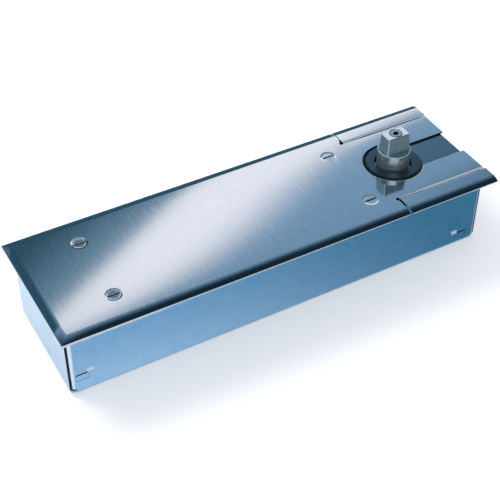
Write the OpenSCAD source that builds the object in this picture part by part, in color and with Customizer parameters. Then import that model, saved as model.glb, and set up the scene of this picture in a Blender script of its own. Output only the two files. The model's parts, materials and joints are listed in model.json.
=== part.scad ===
// Floor-mounted concealed door closer: cement box, hydraulic cam closer and stainless cover.
// X runs along the box towards the spindle end, Z is up.
// The origin is the pivot axis at the finished floor, which is the top face of the cover.

/* [Cover plate] */
// Length of the cover, to the tips of the side strips
cover_l = 342; // [332:1:360]
// Width of the cover
cover_w = 108.5; // [106:0.5:114]
// Thickness of the cover sheet
cover_t = 1.8; // [1.5:0.1:2.2]
// From the pivot axis to the cover's end on the spindle side
cover_past_pivot = 56; // [54:0.5:62]
// Width of the rolled rim
rim_w = 7; // [5:0.5:8]
// How far the rim rolls down
rim_drop = 2.2; // [1.5:0.1:2.6]
// Width of the slot between the two arms
slot_w = 26.8; // [22:0.2:32]
// Gap between the collar and the round hole in the cover
collar_gap = 0.9; // [0.6:0.1:1.5]
// Gap between an arm and the side strip beside it
arm_gap = 0.8; // [0.5:0.1:1.5]
// Radius rolled on the outer edge of an arm
arm_edge_r = 1.5; // [1:0.1:1.7]
// How far the arms stop short of the strips' tips
arm_short = 0.8; // [0.4:0.1:2]
// Depth of the dimple round each cover screw
dimple_depth = 0.5; // [0.3:0.1:0.8]

/* [Spindle end plate] */
// Thickness of the plate under the arms
plate_t = 1.5; // [1.2:0.1:1.7]
// Width of a side strip
strip_w = 16.35; // [16:0.05:17.5]
// Length of the side strips
strip_l = 75.5; // [70:0.5:80]
// Gap between a strip and the end of the cover's rim
strip_end_gap = 1.6; // [1:0.1:3]
// How far the lowered floor stops short of the strips' tips
floor_short = 2.7; // [2:0.1:5]

/* [Cement box] */
// Cover overhang past the box at the end away from the spindle
overhang_rear = 5; // [4.5:0.5:8]
// Cover overhang past the box at the spindle end
overhang_front = 5.5; // [4.5:0.5:8]
// Gap between the box's walls and the cover
cover_gap = 0.5; // [0.4:0.1:1]
// Thickness of the box sheet
box_t = 1.5; // [1.2:0.1:1.8]
// Outer radius of the folds
bend_r = 3; // [2.5:0.1:4]
// How far the end walls stop short of the side faces
end_wall_setback = 2.2; // [2:0.1:3]
// Width of the corner flaps behind the end walls
flap_w = 14; // [8:1:20]
// Length of the lanced slot near each lower corner
tab_slot_l = 13.6; // [12:0.2:18]
// Height of the lanced slot above the underside of the box
tab_slot_up = 16.4; // [14:0.2:20]

/* [Closer body] */
// Width of the body
body_w = 66; // [62:1:74]
// Bore of the cylinder
bore_d = 30; // [29:0.5:33]
// Wall round the cylinder
bore_wall = 7; // [5:0.5:8]
// Free space between the body and each side wall of the box
side_gap = 10.5; // [10:0.1:12]
// Free space between the body's back and the end wall
rear_gap = 22; // [20:0.5:25]
// Height of the body above the box floor
floor_gap = 5.7; // [4.7:0.1:8]
// Thickness of the bearing cap's flange
cap_t = 5; // [4:0.5:7]
// Thickness of the cap gasket
gasket_t = 0.5; // [0.3:0.1:1]
// From the body's back to the rear pair of cover screws
rear_screw_inset = 19; // [16:0.5:19]
// From the pivot axis to the front pair of cover screws
front_screw_x = 38.5; // [36:0.5:41]
// From a cover screw to the side of the body
screw_edge = 4.5; // [4.3:0.1:5]

/* [Spindle] */
// Diameter of the turned part of the spindle
spindle_d = 24.5; // [22:0.1:25.5]
// Height of the turned part above the cover
spindle_neck_h = 12.8; // [10:0.2:18]
// Height of the tapered head
head_h = 13.45; // [10:0.2:18]
// Length of the head's top face
head_top_l = 18; // [15:0.2:19]
// Width of the head's top face
head_top_w = 10.6; // [10:0.2:12]
// Taper of the head's flats from upright
head_taper = 3.2; // [1:0.1:4]
// Outer diameter of the collar round the spindle
collar_d = 42.8; // [41:0.2:44]
// How far the collar stands above the cover
collar_up = 0.6; // [0.3:0.1:1.2]
// Diameter of the camshaft's upper journal
upper_journal_d = 26; // [25:0.5:27]
// Diameter of the camshaft below that journal
shaft_d = 18; // [17:0.5:18.5]
// Across the flats of the square drive
drive_af = 14; // [12:0.5:15]
// Opening angle of the door
open_angle = 130; // [90:5:130]

/* [Cam and carriage] */
// Rise of the cam for each radian of turn
cam_rise = 4.4; // [3.8:0.1:4.6]
// From the pivot axis to the closing roller at rest
roller_x = 13.5; // [13.2:0.1:14.5]
// Diameter of the rollers
roller_d = 12; // [11:0.5:13]
// Thickness of the cam and the rollers
cam_t = 12; // [10:0.5:12.5]
// Thickness of a carriage plate
carriage_t = 4; // [3:0.25:4.5]
// Width of a carriage plate
carriage_w = 30; // [26:0.5:34]
// Diameter of the roller pins
pin_d = 5; // [4:0.25:5.5]
// Diameter of the pull rod
rod_d = 8; // [6:0.5:8.5]

/* [Piston and springs] */
// Length of the piston
piston_l = 22; // [18:1:30]
// Length of the end plug
plug_l = 12; // [9:1:12]
// Oil space between the piston and the end plug at rest
oil_l = 9.5; // [9:0.5:14]
// Wire of the outer spring
outer_wire = 4; // [3:0.1:4.2]
// Mean diameter of the outer spring
outer_mean_d = 24; // [23.5:0.1:24.5]
// Turns of the outer spring
outer_turns = 20; // [14:1:24]
// Wire of the inner spring
inner_wire = 2.6; // [2:0.1:2.8]
// Mean diameter of the inner spring
inner_mean_d = 14; // [13:0.1:14.5]
// Turns of the inner spring
inner_turns = 30; // [20:1:34]

/* [Fasteners] */
// Thread of the cover, spindle and fixing screws
m5 = 5; // [4:1:5]
// Thread of the end plate screws
m4 = 4; // [3:1:4]
// Diameter of the two speed valves
valve_d = 8; // [6:0.5:8.5]

/* [Clearances] */
// Radial play of a turning or sliding fit
run_gap = 0.05; // [0.02:0.01:0.09]
// Radial gap of a pressed or screwed fit
press_gap = 0.02; // [0.01:0.01:0.04]
// Gap between faces that slide past each other
slide_gap = 0.3; // [0.2:0.05:0.5]

/* [Hidden] */
$fn = 96;
eps = 0.01;
over = 1; // how far a cut reaches past what it cuts
radian = 180 / PI;

// Heights, from the cover's top face down
plate_top = -cover_t;
cap_top = plate_top - plate_t;
body_top = cap_top - cap_t - gasket_t;
body_h = bore_d + 2 * bore_wall;
body_bottom = body_top - body_h;
axis_z = body_top - body_h / 2;
box_floor = body_bottom - floor_gap;
box_bottom = box_floor - box_t;

// The box, from the cover's length and the body's width
box_front = cover_past_pivot - overhang_front;
box_rear = cover_past_pivot - cover_l + overhang_rear;
body_half = body_w / 2;
box_inner = body_half + side_gap;
box_half = box_inner + box_t;
box_top = plate_top - cover_gap;

// The cover's arms and the strips beside them
cover_half = cover_w / 2;
strip_in = cover_half - strip_w;
arm_out = strip_in - arm_gap;
strip_start = cover_past_pivot - strip_l;
rim_end = strip_start - strip_end_gap;
top_edge_r = 0.8; // bend at the inner top edge of a strip
relief_r = 1.6; // small round relief where the rim ends
rim_r = (rim_w * rim_w + rim_drop * rim_drop) / (2 * rim_drop);
rim_a = asin(rim_w / rim_r);
sheet_depth = rim_drop + cover_t + over;
collar_r = collar_d / 2;
hole_r = collar_r + collar_gap;
collar_chamfer = 1.5;
dimple_slope = 3; // how far a dimple's side runs out for each unit of depth

// Cam follower positions; the pitch curve of the cam is a double Archimedean spiral
travel = cam_rise * open_angle / radian;
roller_r = roller_d / 2;
roller_h = cam_t - 0.4;
nose_x = roller_x + cam_rise * PI;
cam_gap = 0.1;
plate_margin = 3.5;
plate_corner_r = 5;
plate_front = roller_x + pin_d / 2 + plate_margin;
chamber_front = max(roller_x + roller_r, plate_front) + travel + 1.5;
chamber_half = nose_x - roller_r + 1.5;
chamber_r = 8;
yoke_l = 10;
yoke_pin_y = 9.5;
yoke_front = -nose_x - roller_r - 1.2;
yoke_rear = yoke_front - yoke_l;
chamber_rear = yoke_rear - 1;
upper_plate_z = axis_z + cam_t / 2 + slide_gap;
lower_plate_z = axis_z - cam_t / 2 - slide_gap - carriage_t;
chamber_floor = lower_plate_z - slide_gap;
spigot_bottom = upper_plate_z + carriage_t + slide_gap;

// The body along X
corner_r = 4;
ear_r = 2;
front_wall = 5.5;
rear_wall = 8.5;
body_front = chamber_front + front_wall;
body_rear = box_rear + box_t + rear_gap;
head_rear = chamber_rear - rear_wall + 1;
bore_front = chamber_rear - rear_wall;
bore_r = bore_d / 2;
valve_block_l = 44;
seat_t = 2;
piston_rear = body_rear + plug_l + oil_l;
piston_front = piston_rear + piston_l;
spring_front = bore_front - seat_t;
plug_r = bore_r + 2;

// Bearings, seal and collar inside the cap's bore
journal_r = upper_journal_d / 2;
shaft_r = shaft_d / 2;
needle_r = 1.45;
needle_space = 2 * needle_r + 2 * run_gap;
cup_t = 1;
cap_bore_r = journal_r + needle_space + cup_t + press_gap;
spigot_r = cap_bore_r + 5;
collar_spigot_h = 4;
collar_play = 0.7; // between the collar and the turning journal
seal_h = 4;
seal_top = cap_top - collar_spigot_h;
seal_bottom = seal_top - seal_h;
cup_play = 0.2;
lower_cup_r = shaft_r + needle_space + cup_t;
pocket_r = lower_cup_r + press_gap;
pocket_floor = body_bottom + 2.8;
washer_t = 1;
shaft_bottom = pocket_floor + washer_t + cup_play / 2;
upper_needle_n = 16;
lower_needle_n = 12;

// Spindle
spindle_r = spindle_d / 2;
insert_seat = cap_top + 0.3;
socket_depth = 11;
drive_depth = socket_depth - 0.5;
drive_corner_share = 0.66; // turned radius over the square's corners, as a share of its flats
head_top = spindle_neck_h + head_h;
head_turned_r = 10.2;
head_edge = 0.5;
screw_head_r = 0.85 * m5;
screw_head_h = m5;
screw_bore_r = screw_head_r + 0.25;
screw_reach = 10;
screw_bottom = insert_seat - socket_depth - screw_reach;
screw_socket_share = 0.6; // depth of the socket as a share of the head's height
screw_socket_r = 0.46 * m5;

// Screws
thread_r = m5 / 2;
shank_r = thread_r - run_gap;
csk_r = 0.92 * m5;
rear_screw_x = body_rear + rear_screw_inset;
screw_y = body_half - screw_edge;
pad_top = plate_top - dimple_depth;
pad_r = screw_edge;
cover_screw_l = 12;
cover_screw_slot = 1.2;
head_play = 0.2; // round a cover screw's head
head_sink = 0.1; // how deep that head lies in its dimple
dimple_r = csk_r + 2 * head_play;
socket_share = 0.8; // of a screw's socket, over its corners, to its shank
csk4_r = 0.9 * m4; // head of an end plate screw
hole_play = 0.1; // radial room round a shank or a countersunk head
end_plate_slot = 0.9;
cap_screw_y = (chamber_half + body_half) / 2;
cap_screw_inset = 6.5;
cap_screw_pitch = 13.5;
cap_screw_front_x = body_front - cap_screw_inset;
cap_screw_xs = [-24, cap_screw_front_x - cap_screw_pitch, cap_screw_front_x];
cap_rear_screw_x = (head_rear + chamber_rear) / 2;
cap_rear_screw_y = 12;
cap_screw_l = 14;
plate_screw_x = chamber_front - 1.5;
plate_screw_out = 5.5; // from the slot's edge to an end plate screw
plate_screw_y = slot_w / 2 + plate_screw_out;
filler_x = (chamber_rear - spigot_r) / 2;
filler_r = 4;

// Lanced tabs near the lower corners of the box
tab_inset = 4.2;
tab_inset_front = 10;
tab_up_front = 10.4;
tab_tongue_l = 9;
tab_tongue_h = 5;
tab_groove = 0.45;
tab_slot_h = 1.2;
lip_l = 5;
lip_h = 3;
lip_t = 1;
lip_slant = 15;

// Ears that carry the body in the box
ear_h = 10;
ear_l = 26;
ear_screw_out = 5; // from the body's side to the ear's screws
ear_y = body_half + ear_screw_out;
ear_out = box_inner - 0.5;
front_ear_x = -2;
ear_inset = 8.5; // from the body's back to an ear
rear_ear_x = body_rear + ear_l / 2 + ear_inset;
ear_screw_dx = 8.5;
weld_nut_r = 4.2;
nut_h = floor_gap - 0.4;
fixing_head_h = 3;
levelling_up = 3; // how far a levelling screw stands above its ear
end_play = 0.1; // left at the end of a screw or pin
clear_hole = 0.3; // radial room round a screw that passes through

// Valves and oil ways
valve_r = valve_d / 2;
valve_inset = 5.5; // from the piston's back to the valves
valve_x = piston_rear + valve_inset;
valve_y = bore_r + valve_r + 3;
valve_l = 18;
duct_r = 1.3;
duct_y = 15.5;
duct_up = 8.4;
wall_bite = 2; // how far a duct starts inside the bore's round wall
valve_room = 6; // below a valve's tip
valve_sink = 0.5; // how far a valve's head lies below the body's top
valve_slot = [1.2, 0.9];
valve_groove = [1.8, 1.3];
valve_groove_down = 5;
valve_cord_r = 0.62;

// Piston, its seal, check valve and nut
check_up = 9;
check_r = 3;
check_plug_l = 4;
check_ball_r = check_r - 0.7;
check_seat_x = piston_rear + piston_l / 2;
seal_x = (piston_front + piston_rear) / 2;
seal_groove_r = bore_r - 2;
seal_groove_w = 3;
nut_l = 5;
nut_r = 5.6;
rod_end_r = 3;

// End plug
plug_groove_r = plug_r - 2;
plug_groove_w = 2.5;
plug_groove_x = body_rear + plug_l - 4;
plug_cord_r = 0.95;
plug_socket_r = 8;
plug_socket_depth = 6;

steel = [0.62, 0.66, 0.72];
zinc = [0.62, 0.75, 0.88];
cast = [0.42, 0.46, 0.50];
dark = [0.13, 0.17, 0.21];
brass = [0.78, 0.66, 0.38];
rubber = [0.10, 0.10, 0.11];

// A hole from z = 0 up to h, cut past both ends
module hole(r, h) {
    translate([0, 0, -over]) cylinder(r = r, h = h + 2 * over);
}

// A hexagonal prism from z = 0, measured over its corners
module hexagon(r, h) {
    cylinder(r = r, h = h, $fn = 6);
}

// A rod along X from x0 to x1
module rod_x(x0, x1, r) {
    translate([x0, 0, 0]) rotate([0, 90, 0]) cylinder(r = r, h = x1 - x0);
}

// Copies its children to both sides of the XZ plane
module both_sides() {
    for (s = [-1, 1]) scale_y(s) children();
}

module scale_y(s) {
    if (s > 0) children();
    else mirror([0, 1, 0]) children();
}

// A box with rounded upright corners, from x0 to x1 and z0 to z1
module rounded_block(x0, x1, half, z0, z1, r) {
    translate([0, 0, z0]) linear_extrude(z1 - z0) {
        translate([x0 + r, -half]) square([x1 - x0 - 2 * r, 2 * half]);
        translate([x0, -half + r]) square([x1 - x0, 2 * half - 2 * r]);
        for (x = [x0 + r, x1 - r], y = [-half + r, half - r]) translate([x, y]) circle(r);
    }
}

// Countersunk screw, head up, with its top face at z = 0; a hexagon socket where slot is 0
module countersunk_screw(head_r, shank, length, slot) {
    neck = head_r - shank;
    difference() {
        union() {
            translate([0, 0, -neck]) cylinder(r1 = shank, r2 = head_r, h = neck);
            translate([0, 0, -length]) cylinder(r = shank, h = length - neck + eps);
        }
        if (slot > 0) translate([-head_r, -slot / 2, -slot]) cube([2 * head_r, slot, slot + eps]);
        else translate([0, 0, -neck]) hexagon(socket_share * shank, neck + eps);
    }
}

// The hole that such a screw sits in
module countersink(head_r, hole_r, depth) {
    neck = head_r - hole_r;
    translate([0, 0, -neck]) cylinder(r1 = hole_r, r2 = head_r, h = neck);
    translate([0, 0, -eps]) cylinder(r = head_r, h = over);
    translate([0, 0, -depth]) cylinder(r = hole_r, h = depth);
}

// Solid below a surface that is flat and rolls down at both sides; it runs along X
module rolled_solid(x0, x1, half, r, top) {
    flat = half - rim_w;
    translate([x0, -flat, -sheet_depth]) cube([x1 - x0, 2 * flat, sheet_depth + top]);
    both_sides() intersection() {
        translate([0, flat, -rim_r]) rod_x(x0, x1, r);
        translate([x0, flat, -sheet_depth]) cube([x1 - x0, rim_w, sheet_depth + over]);
    }
}

// What is cut off square past the rolled edges that run along X
module rim_cut(x0, x1, half) {
    both_sides() translate([x0, half - rim_w, -rim_r]) rotate([-rim_a, 0, 0])
        cube([x1 - x0, 2 * rim_r, 2 * rim_r]);
}

// Sheet that rolls down along both sides and along the rear edge, with mitred corners
module cover_sheet() {
    long = cover_l - cover_past_pivot;
    far = cover_past_pivot + rim_w + over;
    difference() {
        intersection() {
            rolled_solid(-long, cover_past_pivot, cover_half, rim_r, 0);
            rear_rolled_solid(rim_r, 0);
        }
        intersection() {
            rolled_solid(-long - over, far, cover_half, rim_r - cover_t, -cover_t);
            rear_rolled_solid(rim_r - cover_t, -cover_t);
        }
        rim_cut(-long - over, far, cover_half);
        translate([-long + rim_w, -cover_w, -rim_r]) rotate([0, -rim_a, 0])
            translate([-2 * rim_r, 0, 0]) cube([2 * rim_r, 2 * cover_w, 2 * rim_r]);
    }
}

// Solid below a surface that rolls down only at the rear end
module rear_rolled_solid(r, top) {
    rear = cover_past_pivot - cover_l;
    flat = rear + rim_w;
    translate([flat, -cover_w, -sheet_depth]) cube([cover_l + 2 * rim_w, 2 * cover_w, sheet_depth + top]);
    intersection() {
        translate([flat, -cover_w, -rim_r]) rotate([-90, 0, 0]) cylinder(r = r, h = 2 * cover_w);
        translate([rear, -cover_w, -sheet_depth]) cube([rim_w, 2 * cover_w, sheet_depth + over]);
    }
}

module cover_screw_places() {
    for (x = [-front_screw_x, rear_screw_x], y = [-screw_y, screw_y]) translate([x, y, 0]) children();
}

// A dimple pressed down from the top face; the same cone stands out below the sheet
module dimple() {
    cylinder(r1 = dimple_r, r2 = dimple_r + dimple_slope * dimple_depth, h = dimple_depth + eps);
}

module cover_plate() {
    color(steel) difference() {
        union() {
            intersection() {
                cover_sheet();
                union() {
                    translate([-cover_l, -cover_w, -sheet_depth])
                        cube([cover_l + rim_end, 2 * cover_w, 2 * sheet_depth]);
                    translate([rim_end - eps, 0, 0]) arm_solid(cover_past_pivot - arm_short - rim_end + eps);
                }
            }
            cover_screw_places() translate([0, 0, pad_top]) dimple();
        }
        translate([0, 0, -sheet_depth]) hole(hole_r, sheet_depth);
        translate([0, -slot_w / 2, -sheet_depth]) cube([cover_past_pivot + over, slot_w, 2 * sheet_depth]);
        both_sides() translate([rim_end, arm_out + relief_r / 3, -sheet_depth]) hole(relief_r, sheet_depth);
        cover_screw_places() translate([0, 0, -dimple_depth]) {
            dimple();
            countersink(csk_r + head_play, csk_r + head_play - cover_t, cover_t + over);
        }
    }
}

// Plan of the two arms with their outer edges rolled down
module arm_solid(length) {
    side = arm_out - arm_edge_r;
    translate([0, -side, -cover_t]) cube([length, 2 * side, cover_t]);
    both_sides() {
        translate([0, side, -arm_edge_r]) rod_x(0, length, arm_edge_r);
        translate([0, side - eps, -cover_t]) cube([length, arm_edge_r + eps, cover_t - arm_edge_r]);
    }
}

module cover_screws() {
    color(steel) cover_screw_places() translate([0, 0, -dimple_depth - head_sink])
        countersunk_screw(csk_r, shank_r, cover_screw_l, cover_screw_slot);
}

// Channel under the arms whose sides step up into the two strips
module spindle_end_plate() {
    color(steel) difference() {
        union() {
            intersection() {
                difference() {
                    rolled_solid(strip_start, cover_past_pivot, cover_half, rim_r, 0);
                    translate([0, 0, -plate_t]) difference() {
                        translate([strip_start - over, -cover_w, -sheet_depth])
                            cube([strip_l + 2 * over, 2 * cover_w, sheet_depth]);
                        both_sides() strip_rim_keep();
                    }
                    rim_cut(strip_start - over, cover_past_pivot + over, cover_half);
                }
                both_sides() translate([strip_start, strip_in, -2 * sheet_depth])
                    cube([strip_l, cover_half, 3 * sheet_depth]);
            }
            both_sides() translate([strip_start, strip_in, cap_top])
                cube([strip_l, plate_t, -cap_top - top_edge_r]);
            translate([strip_start, -strip_in - plate_t, cap_top])
                cube([strip_l - floor_short, 2 * (strip_in + plate_t), plate_t]);
        }
        translate([0, 0, cap_top]) hole(hole_r, plate_t);
        both_sides() translate([strip_start - over, strip_in, -top_edge_r]) difference() {
            translate([0, -over, 0]) cube([strip_l + 2 * over, top_edge_r + over, top_edge_r + over]);
            translate([0, top_edge_r, 0]) rod_x(-over, strip_l + 3 * over, top_edge_r);
        }
        end_plate_screw_places() countersink(csk4_r + hole_play, m4 / 2 + hole_play, plate_t + over);
    }
}

// The rolled part of a strip below its flat underside
module strip_rim_keep() {
    difference() {
        translate([strip_start - 2 * over, cover_half - rim_w, -sheet_depth])
            cube([strip_l + 4 * over, rim_w + over, sheet_depth]);
        translate([0, cover_half - rim_w, -rim_r + plate_t])
            rod_x(strip_start - 3 * over, cover_past_pivot + 3 * over, rim_r - plate_t);
    }
}

module end_plate_screw_places() {
    for (y = [-plate_screw_y, plate_screw_y]) translate([plate_screw_x, y, plate_top]) children();
}

module end_plate_screws() {
    color(steel) end_plate_screw_places()
        countersunk_screw(csk4_r, m4 / 2 - run_gap, plate_t + cap_t - head_play, end_plate_slot);
}

// U-shaped sheet that runs along X, with rounded lower edges
module folded_channel(x0, x1, half, z0, z1) {
    difference() {
        fold_solid(x0, x1, half, z0, z1, bend_r);
        fold_solid(x0 - over, x1 + over, half - box_t, z0 + box_t, z1 + over, bend_r - box_t);
    }
}

module fold_solid(x0, x1, half, z0, z1, r) {
    translate([x0, -half, z0 + r]) cube([x1 - x0, 2 * half, z1 - z0 - r]);
    translate([x0, -half + r, z0]) cube([x1 - x0, 2 * half - 2 * r, r + eps]);
    both_sides() translate([0, half - r, z0 + r]) rod_x(x0, x1, r);
}

// Upright fold of a side wall into the flap behind an end wall, for the corner at +X, +Y
module corner_flap(front, half, z0, z1) {
    inner_r = bend_r - box_t;
    translate([front - bend_r, half - bend_r, z0]) intersection() {
        difference() {
            cylinder(r = bend_r, h = z1 - z0);
            hole(inner_r, z1 - z0);
        }
        cube([bend_r + over, bend_r + over, z1 - z0]);
    }
    translate([front - box_t, half - bend_r - flap_w, z0]) cube([box_t, flap_w, z1 - z0]);
}

module cement_box() {
    wall_front = box_front - box_t - bend_r;
    wall_rear = box_rear + box_t + bend_r;
    flap_z = box_bottom + bend_r + box_t;
    mid = (box_front + box_rear) / 2;
    color(zinc) {
        difference() {
            union() {
                folded_channel(wall_rear, wall_front, box_half, box_bottom, box_top);
                translate([mid, 0, 0]) rotate([0, 0, 90])
                    folded_channel(-(box_half - end_wall_setback), box_half - end_wall_setback,
                                   (box_front - box_rear) / 2, box_bottom, box_top);
                both_sides() {
                    corner_flap(box_front - box_t, box_half, flap_z, box_top);
                    translate([2 * mid, 0, 0]) mirror([1, 0, 0])
                        corner_flap(box_front - box_t, box_half, flap_z, box_top);
                }
            }
            translate([wall_front, -cover_w, cap_top]) cube([cover_w, 2 * cover_w, cover_w]);
            both_sides() for (end = [0, 1]) tab_place(end) tab_cuts();
        }
        both_sides() for (end = [0, 1]) tab_place(end) tab_lip();
    }
}

// Puts a lanced tab on the +Y wall near one end, with its x running away from the corner
module tab_place(end) {
    if (end == 0) translate([box_rear + tab_inset, box_half, box_bottom + tab_slot_up]) children();
    else translate([box_front - tab_inset_front, box_half, box_bottom + tab_up_front])
        mirror([1, 0, 0]) children();
}

module tab_cuts() {
    translate([0, -box_t - over, 0]) cube([tab_slot_l, box_t + 2 * over, tab_slot_h]);
    translate([0, -tab_groove, tab_slot_h - eps]) cube([tab_slot_l, 2 * tab_groove, tab_tongue_h]);
    for (x = [0, tab_tongue_l]) translate([x, -tab_groove, -tab_tongue_h])
        cube([tab_groove, 2 * tab_groove, tab_tongue_h + eps]);
    translate([0, -tab_groove, -tab_tongue_h]) cube([tab_tongue_l, 2 * tab_groove, tab_groove]);
}

// The edge over the slot that is pressed outwards at the end away from the corner
module tab_lip() {
    translate([tab_slot_l - lip_l, 0, tab_slot_h + lip_h]) rotate([lip_slant, 0, 0])
        translate([0, -lip_t, -lip_h]) cube([lip_l, lip_t, lip_h]);
}

module ear_places(dx) {
    for (x = [front_ear_x, rear_ear_x], y = [-ear_y, ear_y]) translate([x + dx, y, 0]) children();
}

module box_weld_nuts() {
    color(steel) ear_places(ear_screw_dx) translate([0, 0, box_floor]) difference() {
        cylinder(r = weld_nut_r, h = nut_h);
        hole(thread_r, nut_h);
    }
}

module fixing_screws() {
    color(steel) ear_places(ear_screw_dx) translate([0, 0, body_bottom + ear_h]) difference() {
        union() {
            cylinder(r = screw_head_r, h = fixing_head_h);
            translate([0, 0, end_play - floor_gap - ear_h]) cylinder(r = shank_r, h = ear_h + floor_gap);
        }
        translate([0, 0, fixing_head_h / 3]) hexagon(socket_share * shank_r, fixing_head_h);
    }
}

module levelling_screws() {
    color(steel) ear_places(-ear_screw_dx) translate([0, 0, box_floor]) difference() {
        cylinder(r = shank_r, h = floor_gap + ear_h + levelling_up);
        translate([0, 0, floor_gap + ear_h]) hexagon(socket_share * shank_r, levelling_up + over);
    }
}

// The casting: head with the cam chamber, barrel with the cylinder, valve block at the rear
module closer_body() {
    color(cast) difference() {
        union() {
            rounded_block(head_rear, body_front, body_half, body_bottom, body_top, corner_r);
            rounded_block(body_rear, body_rear + valve_block_l, body_half, body_bottom, body_top, corner_r);
            translate([0, 0, axis_z]) rod_x(body_rear + over, head_rear + over, body_h / 2);
            for (x = [front_ear_x, rear_ear_x])
                rounded_block(x - ear_l / 2, x + ear_l / 2, ear_out, body_bottom, body_bottom + ear_h, ear_r);
            for (y = [-screw_y, screw_y]) translate([rear_screw_x, y, body_top - over])
                cylinder(r = pad_r, h = pad_top - body_top + over);
        }
        cam_chamber();
        translate([0, 0, axis_z]) {
            rod_x(body_rear + over, bore_front, bore_r);
            rod_x(body_rear - over, body_rear + plug_l, plug_r);
            rod_x(bore_front - over, chamber_rear + over, rod_d / 2 + run_gap);
        }
        translate([0, 0, pocket_floor]) cylinder(r = pocket_r, h = body_h);
        ear_places(ear_screw_dx) translate([0, 0, body_bottom]) hole(thread_r + clear_hole, ear_h);
        ear_places(-ear_screw_dx) translate([0, 0, body_bottom]) hole(thread_r, ear_h);
        for (y = [-screw_y, screw_y]) translate([rear_screw_x, y, 0]) pad_thread();
        cap_screw_places() translate([0, 0, -cap_screw_l - over]) cylinder(r = thread_r, h = cap_screw_l);
        for (y = [-screw_y, screw_y]) translate([-front_screw_x, y, pad_top - cover_screw_l - over])
            cylinder(r = thread_r, h = cover_screw_l);
        both_sides() valve_ways();
    }
}

module cam_chamber() {
    rounded_block(chamber_rear, chamber_front, chamber_half,
                  chamber_floor, body_top + gasket_t + over, chamber_r);
}

module pad_thread() {
    translate([0, 0, pad_top]) countersink(thread_r + 2 * clear_hole, thread_r, cover_screw_l + over);
}

module valve_ways() {
    duct_end = bore_r - wall_bite;
    translate([valve_x, valve_y, body_top - valve_l - valve_room])
        cylinder(r = valve_r + run_gap, h = valve_l + valve_room + over);
    translate([0, duct_y, axis_z + duct_up]) rod_x(valve_x, chamber_rear + over, duct_r);
    translate([valve_x, duct_y, axis_z + duct_up]) rotate([-90, 0, 0])
        cylinder(r = duct_r, h = valve_y - duct_y);
    translate([valve_x, duct_end, axis_z - duct_r]) rotate([-90, 0, 0])
        cylinder(r = duct_r, h = valve_y - duct_end);
}

module cap_screw_places() {
    for (x = cap_screw_xs, y = [-cap_screw_y, cap_screw_y]) translate([x, y, cap_top]) children();
    for (y = [-cap_rear_screw_y, cap_rear_screw_y]) translate([cap_rear_screw_x, y, cap_top]) children();
}

module cap_outline(z0, z1) {
    rounded_block(head_rear, body_front, body_half, z0, z1, corner_r);
}

module bearing_cap() {
    color(cast) difference() {
        union() {
            cap_outline(cap_top - cap_t, cap_top);
            translate([0, 0, spigot_bottom]) cylinder(r = spigot_r, h = cap_top - spigot_bottom);
            for (y = [-screw_y, screw_y]) translate([-front_screw_x, y, cap_top - over])
                cylinder(r = pad_r, h = pad_top - cap_top + over);
        }
        translate([0, 0, spigot_bottom]) hole(cap_bore_r, cap_top - spigot_bottom);
        for (y = [-screw_y, screw_y]) translate([-front_screw_x, y, 0]) pad_thread();
        cap_screw_places() countersink(csk_r + hole_play, thread_r + hole_play, cap_t + over);
        end_plate_screw_places() translate([0, 0, -plate_t])
            countersink(csk4_r - plate_t + 2 * hole_play, m4 / 2, cap_t + over);
        translate([filler_x, 0, cap_top - cap_t]) hole(filler_r, cap_t);
    }
}

module cap_gasket() {
    color(rubber) difference() {
        cap_outline(body_top, body_top + gasket_t);
        cam_chamber();
        cap_screw_places() translate([0, 0, body_top - cap_top]) hole(thread_r + hole_play, gasket_t);
        for (y = [-screw_y, screw_y]) translate([-front_screw_x, y, body_top])
            hole(thread_r + hole_play, gasket_t);
    }
}

module cap_screws() {
    color(steel) cap_screw_places() countersunk_screw(csk_r, shank_r, cap_screw_l, 0);
}

module filler_plug() {
    color(steel) translate([filler_x, 0, cap_top - cap_t]) difference() {
        cylinder(r = filler_r - press_gap, h = cap_t);
        translate([0, 0, cap_t / 2]) hexagon(0.6 * filler_r, cap_t);
    }
}

// Disc that fills the round hole in the cover and closes the bore over the shaft seal
module sealing_collar() {
    color(dark) difference() {
        union() {
            translate([0, 0, cap_top]) cylinder(r = collar_r, h = collar_up - cap_top - collar_chamfer);
            translate([0, 0, collar_up - collar_chamfer])
                cylinder(r1 = collar_r, r2 = collar_r - collar_chamfer, h = collar_chamfer);
            translate([0, 0, seal_top]) cylinder(r = cap_bore_r - press_gap, h = collar_spigot_h + eps);
        }
        translate([0, 0, seal_top]) hole(journal_r + collar_play, collar_up - seal_top);
    }
}

module shaft_seal() {
    color(rubber) translate([0, 0, seal_bottom]) difference() {
        cylinder(r = cap_bore_r - press_gap, h = seal_h);
        hole(journal_r + run_gap, seal_h);
    }
}

module bearing_cup(z0, z1, outer_r) {
    translate([0, 0, z0]) difference() {
        cylinder(r = outer_r, h = z1 - z0);
        hole(outer_r - cup_t, z1 - z0);
    }
}

module needle_ring(z0, z1, inner_r, count) {
    for (i = [0 : count - 1]) rotate([0, 0, 360 * i / count])
        translate([inner_r + run_gap + needle_r, 0, z0]) cylinder(r = needle_r, h = z1 - z0, $fn = 32);
}

module upper_bearing_cup() {
    color(steel) bearing_cup(spigot_bottom + cup_play, seal_bottom - cup_play, cap_bore_r - press_gap);
}

module upper_needles() {
    color(steel)
        needle_ring(spigot_bottom + 2 * cup_play, seal_bottom - 2 * cup_play, journal_r, upper_needle_n);
}

module lower_bearing_cup() {
    color(steel) bearing_cup(pocket_floor, chamber_floor - cup_play, lower_cup_r);
}

module lower_needles() {
    color(steel)
        needle_ring(pocket_floor + cup_play, chamber_floor - 2 * cup_play, shaft_r, lower_needle_n);
}

module thrust_washer() {
    color(brass) translate([0, 0, pocket_floor]) cylinder(r = shaft_r - washer_t, h = washer_t);
}

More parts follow.
